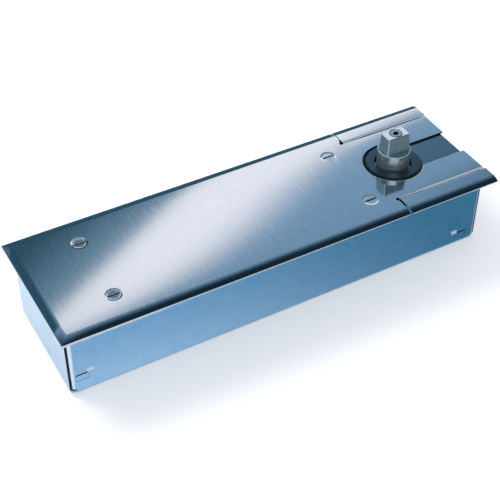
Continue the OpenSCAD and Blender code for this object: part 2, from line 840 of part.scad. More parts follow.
// Points of one half of the cam, offset inwards from the spiral by the roller's radius
function cam_normal(a, r) =
    [cam_rise * sin(a) + r * cos(a), r * sin(a) - cam_rise * cos(a)] / norm([cam_rise, r]);
function cam_point(a) = let (r = roller_x + cam_rise * a / radian)
    r * [cos(a), sin(a)] - (roller_r + cam_gap) * cam_normal(a, r);
cam_notch_a = atan(cam_rise / roller_x);
notch_steps = 5;
cam_steps = 60;
cam_half_outline = concat(
    [for (i = [0 : notch_steps - 1]) let (a = 180 - cam_notch_a * i / notch_steps)
        [roller_x, 0] + (roller_r + cam_gap) * [cos(a), sin(a)]],
    [for (i = [0 : cam_steps]) cam_point(180 * i / cam_steps)]);

module cam_disc() {
    for (s = [-1, 1]) scale_y(s) linear_extrude(cam_t) intersection() {
        polygon(cam_half_outline);
        translate([-2 * nose_x, 0]) square([4 * nose_x, 2 * nose_x]);
    }
}

module camshaft() {
    color(steel) difference() {
        union() {
            translate([0, 0, spigot_bottom]) cylinder(r = journal_r, h = insert_seat - spigot_bottom);
            translate([0, 0, axis_z + cam_t / 2 - eps])
                cylinder(r = shaft_r, h = spigot_bottom - axis_z - cam_t / 2 + 2 * eps);
            translate([0, 0, axis_z - cam_t / 2]) cam_disc();
            translate([0, 0, shaft_bottom])
                cylinder(r = shaft_r, h = axis_z - cam_t / 2 - shaft_bottom + eps);
        }
        translate([-drive_af / 2 - run_gap, -drive_af / 2 - run_gap, insert_seat - socket_depth])
            cube([drive_af + 2 * run_gap, drive_af + 2 * run_gap, socket_depth + over]);
        translate([0, 0, screw_bottom]) hole(thread_r, screw_reach);
    }
}

// Plug-in spindle: square drive below, turned neck, and a head with four tapered flats
module spindle_insert() {
    drive_bottom = insert_seat - drive_depth;
    color(steel) difference() {
        union() {
            translate([0, 0, insert_seat]) cylinder(r = spindle_r, h = spindle_neck_h - insert_seat);
            translate([0, 0, drive_bottom]) intersection() {
                cylinder(r = drive_af * drive_corner_share, h = drive_depth + eps);
                translate([-drive_af / 2, -drive_af / 2, 0]) cube([drive_af, drive_af, drive_depth + eps]);
            }
            tapered_head();
        }
        translate([0, 0, drive_bottom]) hole(thread_r + hole_play, head_top - drive_bottom);
        translate([0, 0, head_top - screw_head_h]) cylinder(r = screw_bore_r, h = screw_head_h + over);
        translate([0, 0, head_top - head_edge])
            cylinder(r1 = screw_bore_r, r2 = screw_bore_r + head_edge, h = head_edge + eps);
    }
}

module tapered_head() {
    difference() {
        translate([0, 0, spindle_neck_h - eps])
            cylinder(r1 = spindle_r - head_edge, r2 = head_turned_r, h = head_h + eps);
        for (turn = [0, 180]) rotate([0, 0, turn]) {
            head_flat(head_top_l / 2);
            rotate([0, 0, 90]) head_flat(head_top_w / 2);
        }
    }
}

// What a tapered flat and the chamfer over it cut away on the +X side
module head_flat(top_x) {
    far = 2 * spindle_r;
    translate([top_x, -far, head_top]) rotate([0, -head_taper, 0])
        translate([0, 0, -head_h / cos(head_taper)]) cube([far, 2 * far, 2 * head_h]);
    translate([top_x - head_edge, -far, head_top]) rotate([0, -45, 0])
        translate([0, 0, -far]) cube([far, 2 * far, 2 * far]);
}

module spindle_screw() {
    color(steel) difference() {
        union() {
            translate([0, 0, head_top - screw_head_h])
                cylinder(r = screw_head_r, h = screw_head_h - head_edge);
            translate([0, 0, head_top - head_edge])
                cylinder(r1 = screw_head_r, r2 = screw_head_r - head_edge, h = head_edge);
            translate([0, 0, screw_bottom])
                cylinder(r = shank_r, h = head_top - screw_head_h - screw_bottom + eps);
        }
        translate([0, 0, head_top - screw_socket_share * screw_head_h])
            hexagon(screw_socket_r, screw_head_h);
    }
}

// A carriage plate with the long slot that lets it slide past the shaft
module carriage_plate(z0) {
    slot_r = shaft_r + slide_gap;
    translate([0, 0, z0]) difference() {
        rounded_block(yoke_rear, plate_front, carriage_w / 2, 0, carriage_t, plate_corner_r);
        for (x = [0, -travel]) translate([x, 0, 0]) hole(slot_r, carriage_t);
        translate([-travel, -slot_r, -over]) cube([travel, 2 * slot_r, carriage_t + 2 * over]);
        for (x = [roller_x, -nose_x]) translate([x, 0, 0]) hole(pin_d / 2 + press_gap, carriage_t);
        yoke_pin_places() hole(pin_d / 2 + press_gap, carriage_t);
    }
}

module yoke_pin_places() {
    for (y = [-yoke_pin_y, yoke_pin_y]) translate([(yoke_front + yoke_rear) / 2, y, 0]) children();
}

module upper_carriage_plate() {
    color(steel) carriage_plate(upper_plate_z);
}

module lower_carriage_plate() {
    color(steel) carriage_plate(lower_plate_z);
}

module carriage_yoke() {
    half_h = cam_t / 2 + slide_gap;
    yoke_half = carriage_w / 2 - 1;
    color(cast) difference() {
        translate([yoke_rear, -yoke_half, axis_z - half_h]) cube([yoke_l, 2 * yoke_half, 2 * half_h]);
        translate([0, 0, axis_z]) rod_x(yoke_rear - over, yoke_front - 2, rod_d / 2 + press_gap);
        yoke_pin_places() translate([0, 0, axis_z - half_h]) hole(pin_d / 2 + press_gap, 2 * half_h);
    }
}

module carriage_pin() {
    translate([0, 0, lower_plate_z + end_play])
        cylinder(r = pin_d / 2, h = upper_plate_z + carriage_t - lower_plate_z - 2 * end_play);
}

module yoke_pins() {
    color(steel) yoke_pin_places() carriage_pin();
}

module roller_pins() {
    color(steel) for (x = [roller_x, -nose_x]) translate([x, 0, 0]) carriage_pin();
}

module roller(x) {
    color(steel) translate([x, 0, axis_z - roller_h / 2]) difference() {
        cylinder(r = roller_r, h = roller_h);
        hole(pin_d / 2 + run_gap, roller_h);
    }
}

module closing_roller() {
    roller(roller_x);
}

module follower_roller() {
    roller(-nose_x);
}

module pull_rod() {
    color(steel) translate([0, 0, axis_z]) {
        rod_x(piston_front, yoke_front - 2 - slide_gap, rod_d / 2);
        rod_x(piston_rear - nut_l - over, piston_front + eps, rod_end_r - press_gap);
    }
}

module rod_nut() {
    color(steel) translate([0, 0, axis_z]) difference() {
        translate([piston_rear - nut_l, 0, 0]) rotate([0, 90, 0]) hexagon(nut_r, nut_l);
        rod_x(piston_rear - nut_l - over, piston_rear + over, rod_end_r);
    }
}

module piston() {
    piston_r = bore_r - run_gap;
    color(cast) translate([0, 0, axis_z]) difference() {
        rod_x(piston_rear, piston_front, piston_r);
        rod_x(piston_rear - over, piston_front + over, rod_end_r);
        difference() {
            rod_x(seal_x - seal_groove_w / 2, seal_x + seal_groove_w / 2, bore_r + over);
            rod_x(seal_x - seal_groove_w, seal_x + seal_groove_w, seal_groove_r);
        }
        translate([0, 0, check_up]) {
            rod_x(piston_rear - over, check_seat_x, check_r);
            rod_x(piston_rear, piston_front + over, check_r / 2);
        }
    }
}

module piston_seal() {
    half_w = seal_groove_w / 2 - end_play;
    color(rubber) translate([0, 0, axis_z]) difference() {
        rod_x(seal_x - half_w, seal_x + half_w, bore_r - run_gap / 2);
        rod_x(seal_x - seal_groove_w, seal_x + seal_groove_w, seal_groove_r + press_gap);
    }
}

module check_ball() {
    color(steel) translate([check_seat_x - check_ball_r - slide_gap, 0, axis_z + check_up])
        sphere(check_ball_r, $fn = 32);
}

module check_plug() {
    color(brass) translate([0, 0, axis_z + check_up]) difference() {
        rod_x(piston_rear, piston_rear + check_plug_l, check_r - press_gap);
        rod_x(piston_rear - over, piston_rear + check_plug_l + over, 0.4 * check_r);
    }
}

module spring_seat() {
    color(steel) translate([0, 0, axis_z]) difference() {
        rod_x(bore_front - seat_t, bore_front, bore_r - cup_play);
        rod_x(bore_front - seat_t - over, bore_front + over, rod_d / 2 + 2 * cup_play);
    }
}

// Compression spring along X with closed end turns, as one tube
coil_rings = 8;
coil_sides = 6;
seat_gap = 0.3;
end_turn_gap = 0.6;
function coil_pitch(length, wire, turns) =
    (length - 2 * seat_gap - wire - 2 * (wire + end_turn_gap)) / (turns - 2);
function coil_x(u, length, wire, turns) =
    let (end = wire + end_turn_gap, mid = coil_pitch(length, wire, turns))
    seat_gap + wire / 2 + (u < 1 ? u * end
        : u < turns - 1 ? end + (u - 1) * mid
        : end + (turns - 2) * mid + (u - turns + 1) * end);
function coil_centre(i, length, wire, mean_r, turns) = let (a = 360 * i / coil_rings)
    [coil_x(i / coil_rings, length, wire, turns), mean_r * cos(a), mean_r * sin(a)];
function coil_gap(length, wire, mean_r, turns) = -wire + min([for (i = [0 : coil_rings * (turns - 1)])
    norm(coil_centre(i + coil_rings, length, wire, mean_r, turns)
        - coil_centre(i, length, wire, mean_r, turns))]);

module coil(length, wire, mean_r, turns) {
    rings = coil_rings * turns;
    points = [for (i = [0 : rings], k = [0 : coil_sides - 1])
        let (a = 360 * i / coil_rings, b = 360 * k / coil_sides)
        coil_centre(i, length, wire, mean_r, turns)
            + wire / 2 * [sin(b), cos(b) * cos(a), cos(b) * sin(a)]];
    sides = [for (i = [0 : rings - 1], k = [0 : coil_sides - 1])
        let (next = (k + 1) % coil_sides, p = i * coil_sides, q = p + coil_sides)
        each [[p + k, q + k, q + next], [p + k, q + next, p + next]]];
    start = [for (k = [1 : coil_sides - 2]) [0, k, k + 1]];
    last = rings * coil_sides;
    finish = [for (k = [1 : coil_sides - 2]) [last, last + k + 1, last + k]];
    polyhedron(points, concat(start, sides, finish));
}

module body_spring(wire, mean_d, turns) {
    length = spring_front - piston_front;
    echo(least_gap = coil_gap(length, wire, mean_d / 2, turns));
    color(steel) translate([piston_front, 0, axis_z]) coil(length, wire, mean_d / 2, turns);
}

module outer_spring() {
    body_spring(outer_wire, outer_mean_d, outer_turns);
}

module inner_spring() {
    body_spring(inner_wire, inner_mean_d, inner_turns);
}

module end_plug() {
    color(steel) translate([0, 0, axis_z]) difference() {
        rod_x(body_rear, body_rear + plug_l, plug_r - press_gap);
        translate([body_rear - over, 0, 0]) rotate([0, 90, 0])
            hexagon(plug_socket_r, plug_socket_depth + over);
        difference() {
            rod_x(plug_groove_x - plug_groove_w / 2, plug_groove_x + plug_groove_w / 2, plug_r + over);
            rod_x(plug_groove_x - plug_groove_w, plug_groove_x + plug_groove_w, plug_groove_r);
        }
    }
}

module end_plug_seal() {
    color(rubber) translate([plug_groove_x, 0, axis_z]) rotate([0, 90, 0])
        rotate_extrude() translate([(plug_groove_r + plug_r) / 2, 0]) circle(plug_cord_r, $fn = 24);
}

// A speed valve: slotted screw with a seal groove and a conical tip
module speed_valve(side) {
    color(brass) translate([valve_x, side * valve_y, body_top - valve_sink]) difference() {
        union() {
            translate([0, 0, -valve_l + valve_r]) cylinder(r = valve_r, h = valve_l - valve_r);
            translate([0, 0, -valve_l]) cylinder(r1 = valve_r / 4, r2 = valve_r, h = valve_r);
        }
        translate([-valve_r - over, -valve_slot[0] / 2, -valve_slot[1]])
            cube([2 * valve_r + 2 * over, valve_slot[0], valve_slot[1] + over]);
        translate([0, 0, -valve_groove_down]) difference() {
            cylinder(r = valve_r + over, h = valve_groove[0]);
            hole(valve_r - valve_groove[1], valve_groove[0]);
        }
    }
}

module valve_seal(side) {
    translate([valve_x, side * valve_y, body_top - valve_sink - valve_groove_down + valve_groove[0] / 2])
        rotate_extrude() translate([valve_r - valve_groove[1] / 2, 0]) circle(valve_cord_r, $fn = 24);
}

module closing_speed_valve() {
    speed_valve(1);
}

module latching_speed_valve() {
    speed_valve(-1);
}

module closing_valve_seal() {
    color(rubber) valve_seal(1);
}

module latching_valve_seal() {
    color(rubber) valve_seal(-1);
}

cement_box();
box_weld_nuts();
closer_body();
levelling_screws();
fixing_screws();
bearing_cap();
cap_gasket();
cap_screws();
filler_plug();
sealing_collar();
shaft_seal();
upper_bearing_cup();
upper_needles();
lower_bearing_cup();
lower_needles();
thrust_washer();
camshaft();
spindle_insert();
spindle_screw();
upper_carriage_plate();
lower_carriage_plate();
carriage_yoke();
yoke_pins();
closing_roller();
follower_roller();
roller_pins();
pull_rod();
rod_nut();
piston();
piston_seal();
check_ball();
check_plug();
spring_seat();
outer_spring();
inner_spring();
end_plug();
end_plug_seal();
closing_speed_valve();
closing_valve_seal();
latching_speed_valve();
latching_valve_seal();
spindle_end_plate();
end_plate_screws();
cover_plate();
cover_screws();
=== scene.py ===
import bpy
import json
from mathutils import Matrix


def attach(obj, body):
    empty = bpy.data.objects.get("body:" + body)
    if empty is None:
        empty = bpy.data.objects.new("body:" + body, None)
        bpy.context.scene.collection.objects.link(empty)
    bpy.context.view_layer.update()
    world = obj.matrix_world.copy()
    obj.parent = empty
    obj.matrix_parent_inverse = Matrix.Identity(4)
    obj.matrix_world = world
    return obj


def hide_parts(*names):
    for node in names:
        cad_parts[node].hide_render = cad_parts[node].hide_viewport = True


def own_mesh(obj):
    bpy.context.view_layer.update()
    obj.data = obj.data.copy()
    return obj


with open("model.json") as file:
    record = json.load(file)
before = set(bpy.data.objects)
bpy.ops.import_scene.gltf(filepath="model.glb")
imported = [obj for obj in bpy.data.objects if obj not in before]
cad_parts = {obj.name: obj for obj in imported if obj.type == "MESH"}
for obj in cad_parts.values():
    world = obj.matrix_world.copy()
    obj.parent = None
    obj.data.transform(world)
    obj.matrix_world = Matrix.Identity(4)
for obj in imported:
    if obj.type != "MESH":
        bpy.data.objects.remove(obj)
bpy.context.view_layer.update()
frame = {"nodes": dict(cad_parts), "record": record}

import json
import math

import bmesh
import bpy
from mathutils import Matrix, Vector

# A floor-mounted concealed door closer. Sizes here are in millimetres, in the CAD frame:
# the origin is the pivot axis at the cover's top face, X runs to the spindle end, Z is up.
MM = 0.001

# Cover: its ends, half its width, the sheet, the rolled rim and the worn facet along the rim
COVER_REAR, COVER_END, COVER_HALF, SHEET = -286, 56, 54.25, 1.8
RIM_W, RIM_R, RIM_ANGLE, WORN = 7, 12.236, math.radians(34.9), 0.42
RIM_LOW = -RIM_R * (1 - math.cos(RIM_ANGLE))
# The rim's end and the arms beyond it, the round hole, the slot and how far their edge is broken
RIM_END, ARM_TIP, ARM_OUT, ARM_EDGE = -21.1, 55.2, 37.1, 1.5
HOLE_R, SLOT_HALF, BROKEN = 22.3, 13.4, 0.5
# Cover screws
SCREW_XS, SCREW_Y = (-238.5, -38.5), 28.5
SCREWS = [(x, y) for x in SCREW_XS for y in (-SCREW_Y, SCREW_Y)]
# End plate: the start and the inner edge of its raised strips, and its thickness
STRIP_START, STRIP_IN, PLATE = -19.5, 37.9, 1.5
# Cement box: its outside, the sheet, the folds' outer radius, half an end wall and a corner flap
BOX_REAR, BOX_FRONT, BOX_HALF, BOX_BOTTOM, BOX_TOP = -281, 50.5, 45, -60, -2.3
BOX_T, FOLD_R, END_HALF, FLAP = 1.5, 3, 42.8, 14
# Spindle
NECK_TOP, SPINDLE_TOP = 12.8, 26.25
# Springs: their axis and ends
AXIS_Z, PISTON_FRONT, SPRING_FRONT = -30.8, -214, -56.02
# Camera
CAMERA_X, CAMERA_Y, CAMERA_Z = -426.62, -544.82, 529.01
AZIMUTH, ELEVATION, TILT = math.radians(-29.2997), math.radians(42.0761), math.radians(0.238)
LENS, SENSOR = 83.814, 36
# Reflected panels: the one overhead is level with the camera, and the cards lie on the floor
OVERHEAD_Z, CARD_Z = 529, BOX_BOTTOM + 0.2


# ---------------------------------------------------------------- workshop

def clear_selection():
    if bpy.context.object and bpy.context.object.mode != "OBJECT":
        bpy.ops.object.mode_set(mode="OBJECT")
    bpy.ops.object.select_all(action="DESELECT")


def take(piece):
    """Selects one piece and makes it the active one."""
    clear_selection()
    piece.select_set(True)
    bpy.context.view_layer.objects.active = piece


def at(*point):
    """A place or a size in millimetres, turned into metres."""
    return tuple(c * MM for c in point)


def named(name):
    """Names the new piece and settles its place, turn and scale."""
    piece = bpy.context.object
    piece.name = piece.data.name = name
    bpy.ops.object.transform_apply(location=True, rotation=True, scale=True)
    return piece


def block(name, low, high):
    clear_selection()
    bpy.ops.mesh.primitive_cube_add(size=1, location=at(*[(a + b) / 2 for a, b in zip(low, high)]))
    bpy.context.object.scale = at(*[b - a for a, b in zip(low, high)])
    return named(name)


def edit(piece):
    take(piece)
    bpy.ops.object.mode_set(mode="EDIT")


def done():
    bpy.ops.object.mode_set(mode="OBJECT")


def pick_faces(piece, wanted):
    """Selects the faces whose middle, in mm, and normal pass the test."""
    bpy.ops.mesh.select_mode(type="FACE")
    bpy.ops.mesh.select_all(action="DESELECT")
    mesh = bmesh.from_edit_mesh(piece.data)
    for face in mesh.faces:
        face.select_set(wanted(face.calc_center_median() / MM, face.normal))
    bmesh.update_edit_mesh(piece.data)


def pick_edges(piece, wanted):
    """Selects the edges whose two ends, in mm, pass the test."""
    bpy.ops.mesh.select_mode(type="EDGE")
    bpy.ops.mesh.select_all(action="DESELECT")
    mesh = bmesh.from_edit_mesh(piece.data)
    for edge in mesh.edges:
        edge.select_set(wanted(edge.verts[0].co / MM, edge.verts[1].co / MM))
    bmesh.update_edit_mesh(piece.data)


def pull(x=0, y=0, z=0):
    """Extrudes what is selected."""
    bpy.ops.mesh.extrude_region_move(TRANSFORM_OT_translate={"value": at(x, y, z)})


def turn(axis, angle, centre):
    """Turns what is selected. Without a window, Blender counts the angle the other way round."""
    bpy.ops.transform.rotate(value=-angle, orient_axis=axis, orient_type="GLOBAL", center_override=at(*centre))


def roll(axis, angle, centre, steps):
    """Extrudes the selected faces round an axis, step by step."""
    for _ in range(steps):
        pull()
        turn(axis, angle / steps, centre)


def slice_at(point, normal, clear=False):
    """Cuts all faces along a plane; clear takes the side that the normal points to away and closes the cut."""
    bpy.ops.mesh.select_mode(type="VERT")
    bpy.ops.mesh.select_all(action="SELECT")
    bpy.ops.mesh.bisect(plane_co=at(*point), plane_no=normal, use_fill=clear, clear_outer=clear)


def bevel_picked(width, segments):
    bpy.ops.mesh.bevel(offset=width * MM, segments=segments, affect="EDGES", profile=0.5)


def clean_mesh():
    """Joins doubled points and turns every face outward."""
    bpy.ops.mesh.select_all(action="SELECT")
    bpy.ops.mesh.remove_doubles(threshold=1e-6)
    bpy.ops.mesh.normals_make_consistent(inside=False)


def turned(name, profile, sides, centre=(0, 0), ring=False):
    """Turns a profile of (radius, height) pairs about an upright axis; a ring's profile is closed."""
    clear_selection()
    radius, height = profile[0]
    bpy.ops.mesh.primitive_circle_add(vertices=sides, radius=radius * MM, location=at(*centre, height),
                                      fill_type="NOTHING" if ring else "NGON")
    piece = named(name)
    edit(piece)
    bpy.ops.mesh.select_mode(type="VERT")
    bpy.ops.mesh.select_all(action="SELECT")
    for next_radius, next_height in profile[1:] + (profile[:1] if ring else []):
        pull(z=next_height - height)
        ratio = next_radius / radius
        bpy.ops.transform.resize(value=(ratio, ratio, 1), center_override=at(*centre, next_height))
        radius, height = next_radius, next_height
    clean_mesh()
    done()
    return piece


def combine(piece, tool, operation="DIFFERENCE"):
    take(piece)
    bpy.ops.object.modifier_add(type="BOOLEAN")
    change = piece.modifiers[-1]
    change.operation, change.object, change.solver, change.use_self = operation, tool, "EXACT", True
    bpy.ops.object.modifier_apply(modifier=change.name)
    bpy.data.objects.remove(tool)


def copy_of(piece, name, place):
    take(piece)
    bpy.ops.object.duplicate(linked=False)
    bpy.context.object.location = at(*place)
    return named(name)


def joined(pieces, name):
    clear_selection()
    for piece in pieces:
        piece.select_set(True)
    bpy.context.view_layer.objects.active = pieces[0]
    bpy.ops.object.join()
    return named(name)


def smooth(piece, angle, weighted=True):
    """Smooths the edges under an angle; weighted keeps the large faces flat."""
    edit(piece)
    clean_mesh()
    done()
    take(piece)
    bpy.ops.object.shade_smooth_by_angle(angle=math.radians(angle))
    if weighted:
        bpy.ops.object.modifier_add(type="WEIGHTED_NORMAL")
        piece.modifiers[-1].keep_sharp = True
        bpy.ops.object.modifier_apply(modifier=piece.modifiers[-1].name)


def stands_for(piece, body, node):
    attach(piece, body)
    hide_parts(node)


# ---------------------------------------------------------------- finishes

def feed(tree, value, socket):
    """Links a node's output to a socket, or sets the socket to a plain number or colour."""
    if isinstance(value, bpy.types.NodeSocket):
        tree.links.new(value, socket)
    else:
        socket.default_value = (*value, 1) if isinstance(value, tuple) else value


def maths(tree, operation, *values):
    node = tree.nodes.new("ShaderNodeMath")
    node.operation = operation
    for value, socket in zip(values, node.inputs):
        feed(tree, value, socket)
    return node.outputs[0]


class Finish:
    """A material: a Principled shader and the nodes that feed it."""

    def __init__(self, name, metallic=1.0, specular=0.5):
        self.material = bpy.data.materials.new(name)
        self.material.use_nodes = True
        self.tree = self.material.node_tree
        self.shader = self.tree.nodes["Principled BSDF"]
        self.shader.inputs["Metallic"].default_value = metallic
        self.shader.inputs["Specular IOR Level"].default_value = specular
        self.place = self.tree.nodes.new("ShaderNodeTexCoord").outputs["Object"]

    def link(self, source, target):
        self.tree.links.new(source, target)

    def noise(self, scale, detail=3.0, roughness=0.55, slant=0):
        """Noise of so many specks a metre along X, Y and Z, slanted about Y by an angle in degrees."""
        mapping = self.tree.nodes.new("ShaderNodeMapping")
        mapping.inputs["Scale"].default_value = scale
        mapping.inputs["Rotation"].default_value = (0, math.radians(slant), 0)
        self.link(self.place, mapping.inputs["Vector"])
        node = self.tree.nodes.new("ShaderNodeTexNoise")
        node.inputs["Scale"].default_value = 1.0
        node.inputs["Detail"].default_value = detail
        node.inputs["Roughness"].default_value = roughness
        self.link(mapping.outputs["Vector"], node.inputs["Vector"])
        return node.outputs["Fac"]

    def ramp(self, source, *colours):
        """Colours spread evenly over a source that runs from 0 to 1."""
        node = self.tree.nodes.new("ShaderNodeValToRGB")
        points = node.color_ramp.elements
        while len(points) < len(colours):
            points.new(0.5)
        for i, colour in enumerate(colours):
            points[i].position = i / (len(colours) - 1)
            points[i].color = (*colour, 1)
        self.link(source, node.inputs["Fac"])
        return node.outputs["Color"]

    def span(self, source, low, high, start=0.3, end=0.7, kind="LINEAR"):
        """Low where the source is at start, high where it is at end."""
        node = self.tree.nodes.new("ShaderNodeMapRange")
        node.interpolation_type = kind
        for label, value in (("From Min", start), ("From Max", end), ("To Min", low), ("To Max", high)):
            node.inputs[label].default_value = value
        self.link(source, node.inputs["Value"])
        return node.outputs["Result"]

    def step(self, source, start, end):
        """0 before start, 1 after end and smooth between them."""
        return self.span(source, 0, 1, start, end, "SMOOTHSTEP")

    def measure(self, x, y, offset=0):
        """x and y times the place in millimetres, plus an offset."""
        dot = self.tree.nodes.new("ShaderNodeVectorMath")
        dot.operation = "DOT_PRODUCT"
        dot.inputs[1].default_value = (x / MM, y / MM, 0)
        self.link(self.place, dot.inputs[0])
        return maths(self.tree, "ADD", dot.outputs["Value"], offset)

    def past(self, x, y, start, end):
        """0 before start and 1 after end, in millimetres along the direction x, y."""
        return self.step(self.measure(x, y), start, end)

    def mirrored(self, x, y):
        """x and y times the place of the cover that shows this place of the overhead panel to the camera.

        The panel is level with the camera, so that place is halfway between the two.
        """
        return self.measure(x / 2, y / 2, (x * CAMERA_X + y * CAMERA_Y) / 2)

    def sum(self, *parts):
        total = parts[0]
        for part in parts[1:]:
            total = maths(self.tree, "ADD", total, part)
        return total

    def blend(self, factor, first, second, kind="MIX"):
        node = self.tree.nodes.new("ShaderNodeMix")
        node.data_type, node.blend_type = "RGBA", kind
        feed(self.tree, factor, node.inputs["Factor"])
        for value, label in ((first, "A"), (second, "B")):
            feed(self.tree, value, next(s for s in node.inputs if s.name == label and s.type == "RGBA"))
        return next(s for s in node.outputs if s.type == "RGBA")

    def glow(self, colour):
        """Turns the material into a plain light panel."""
        self.shader.inputs["Base Color"].default_value = (0, 0, 0, 1)
        self.shader.inputs["Emission Strength"].default_value = 1
        feed(self.tree, colour, self.shader.inputs["Emission Color"])

    def surface(self, colour, roughness, height, strength, distance):
        """Feeds the shader its colour, its roughness and a fine relief."""
        bump = self.tree.nodes.new("ShaderNodeBump")
        bump.inputs["Strength"].default_value = strength
        bump.inputs["Distance"].default_value = distance
        self.link(height, bump.inputs["Height"])
        for source, label in ((colour, "Base Color"), (roughness, "Roughness"), (bump.outputs["Normal"], "Normal")):
            self.link(source, self.shader.inputs[label])


FINISHES = {}


def brushed(name, dark, light, grain=(1200, 70, 1200), rough=(0.07, 0.11), band=(500, 6, 500), metallic=1.0):
    """Brushed, ground or turned metal; its lines run along the axis with the smallest numbers."""
    finish = Finish(name, metallic)
    fine = finish.noise(grain, detail=4)
    broad = finish.noise(band, detail=2)
    streaks = finish.sum(finish.span(fine, 0, 0.75), finish.span(broad, 0, 0.25))
    finish.surface(finish.ramp(streaks, dark, light), finish.span(streaks, *rough, 0, 1), fine, 0.05, 0.00002)
    FINISHES[name] = finish.material


def zinc(name):
    """Zinc-coated sheet: cloudy, mottled and faintly scratched."""
    finish = Finish(name)
    cloud = finish.noise((90, 90, 90), detail=5, roughness=0.65)
    mottle = finish.noise((420, 420, 420), detail=4, roughness=0.6)
    scratch = finish.noise((60, 60, 1500), detail=4, slant=24)
    tone = finish.sum(finish.span(cloud, 0, 0.5), finish.span(mottle, 0, 0.35), finish.span(scratch, 0, 0.15))
    relief = finish.sum(finish.span(cloud, 0, 1), finish.span(mottle, 0, 0.4))
    finish.surface(finish.ramp(tone, (0.50, 0.66, 0.82), (0.56, 0.72, 0.87), (0.64, 0.79, 0.92)),
                   finish.span(tone, 0.24, 0.36, 0, 1), relief, 0.10, 0.00012)
    FINISHES[name] = finish.material


def spotted(name, dark, light, size, rough, metallic=1.0, depth=0.00003, strength=0.2, specular=0.5):
    """Fine specks over blotches eight times their size: castings, rubber, plating and plain steel, and also painted
    highlights and painted shade.
    """
    finish = Finish(name, metallic, specular)
    fine = finish.noise((size, size, size), detail=5, roughness=0.6)
    broad = finish.noise((size / 8, size / 8, size / 8), detail=3)
    tone = finish.sum(finish.span(fine, 0, 0.6), finish.span(broad, 0, 0.4))
    finish.surface(finish.ramp(tone, dark, light), finish.span(tone, *rough, 0, 1), fine, strength, depth)
    FINISHES[name] = finish.material


brushed("stainless_sheet", (0.56, 0.64, 0.74), (0.70, 0.775, 0.86))
# Painted shade: a much darker copy of the sheet for the end plate's lowered floor, seen through the slot
brushed("pressed_floor", (0.11, 0.22, 0.31), (0.15, 0.27, 0.36), rough=(0.26, 0.32))
# Painted highlight: a pale, half-metallic finish for edges, rims, lips and corners where light catches them
spotted("worn_edge", (0.66, 0.72, 0.79), (0.82, 0.86, 0.90), 1500, (0.35, 0.5), metallic=0.35)
brushed("stainless_screws", (0.55, 0.62, 0.70), (0.72, 0.78, 0.85), (900, 900, 900), (0.16, 0.28), (200, 200, 200))
zinc("zinc_sheet")
spotted("spindle_steel", (0.33, 0.46, 0.51), (0.38, 0.51, 0.56), 2400, (0.22, 0.30), metallic=0.7,
        depth=0.00001, strength=0.1)
brushed("turned_neck", (0.44, 0.54, 0.60), (0.56, 0.66, 0.71), (120, 120, 2600), (0.20, 0.28), (60, 60, 700),
        metallic=0.85)
# Painted shade: a darker copy of the spindle steel for the ledge under the head
spotted("spindle_ledge", (0.15, 0.31, 0.37), (0.19, 0.36, 0.42), 2400, (0.24, 0.32), metallic=0.7,
        depth=0.00001, strength=0.1)
# Painted light: a paler, less metallic copy of the spindle steel for the top face, as if lit from above
spotted("spindle_top", (0.62, 0.74, 0.79), (0.72, 0.83, 0.88), 2400, (0.24, 0.32), metallic=0.35,
        depth=0.00001, strength=0.1)
spotted("dark_collar", (0.035, 0.075, 0.105), (0.055, 0.105, 0.145), 1400, (0.20, 0.30), metallic=0.8,
        depth=0.00001, strength=0.1)
brushed("hardened_steel", (0.44, 0.46, 0.49), (0.60, 0.62, 0.65), (700, 700, 90), (0.18, 0.30), (120, 120, 30))
spotted("spring_steel", (0.20, 0.21, 0.23), (0.33, 0.34, 0.37), 700, (0.28, 0.42))
spotted("cast_body", (0.17, 0.20, 0.23), (0.27, 0.30, 0.34), 650, (0.45, 0.65), metallic=0.35,
        depth=0.00025, strength=0.5)
spotted("plated_fasteners", (0.50, 0.54, 0.58), (0.66, 0.70, 0.74), 1400, (0.20, 0.34))
spotted("brass_parts", (0.60, 0.44, 0.18), (0.80, 0.62, 0.30), 1100, (0.20, 0.34))
spotted("seal_rubber", (0.012, 0.012, 0.013), (0.035, 0.035, 0.038), 1800, (0.55, 0.75), metallic=0.0,
        depth=0.00005, strength=0.35)
# Painted highlight: a pale copy of the zinc for parts of the box's corner folds
spotted("burnished_fold", (0.72, 0.86, 0.97), (0.80, 0.92, 1.0), 700, (0.30, 0.40), metallic=0.75)
# Painted shade: near black for gaps, recesses and edges that face away from the light
spotted("cut_edge", (0.004, 0.010, 0.016), (0.012, 0.022, 0.032), 1600, (0.5, 0.6), metallic=0.0, specular=0.1)
# Painted shade: a darker copy of the screw steel for the rear pair of screw heads
spotted("dull_head", (0.16, 0.27, 0.34), (0.24, 0.36, 0.44), 1500, (0.22, 0.34), metallic=0.8)
# Painted shade: near black on the collar's chamfer, for the dark gap round it
spotted("collar_bevel", (0.004, 0.010, 0.016), (0.010, 0.020, 0.030), 1400, (0.3, 0.4), metallic=0.2, specular=0.2)

# The pieces that come from the CAD as they are
for part in frame["record"]["subparts"]:
    for slot in frame["nodes"][part["node"]].material_slots:
        slot.material = FINISHES[part["material_slot"]]


def paint(piece, main, *touches):
    """Gives a piece its main finish, and then each further one to the faces that pass its test."""
    piece.data.materials.append(FINISHES[main])
    for other, wanted in touches:
        piece.data.materials.append(FINISHES[other])
        edit(piece)
        pick_faces(piece, wanted)
        piece.active_material_index = len(piece.data.materials) - 1
        bpy.ops.object.material_slot_assign()
        done()


def on_rim_edge(c, n):
    """The narrow facet that wear leaves along the outer edge of the rolled rim, short of its far corner; it gets a
    painted highlight.
    """
    far_corner = c.y > COVER_HALF - 1.5 and c.x < COVER_REAR + 1.5
    outermost = abs(c.y) > COVER_HALF - WORN or c.x < COVER_REAR + WORN
    return outermost and not far_corner and c.z < RIM_LOW + WORN and -0.4 < n.z < 0.75


# ---------------------------------------------------------------- cover

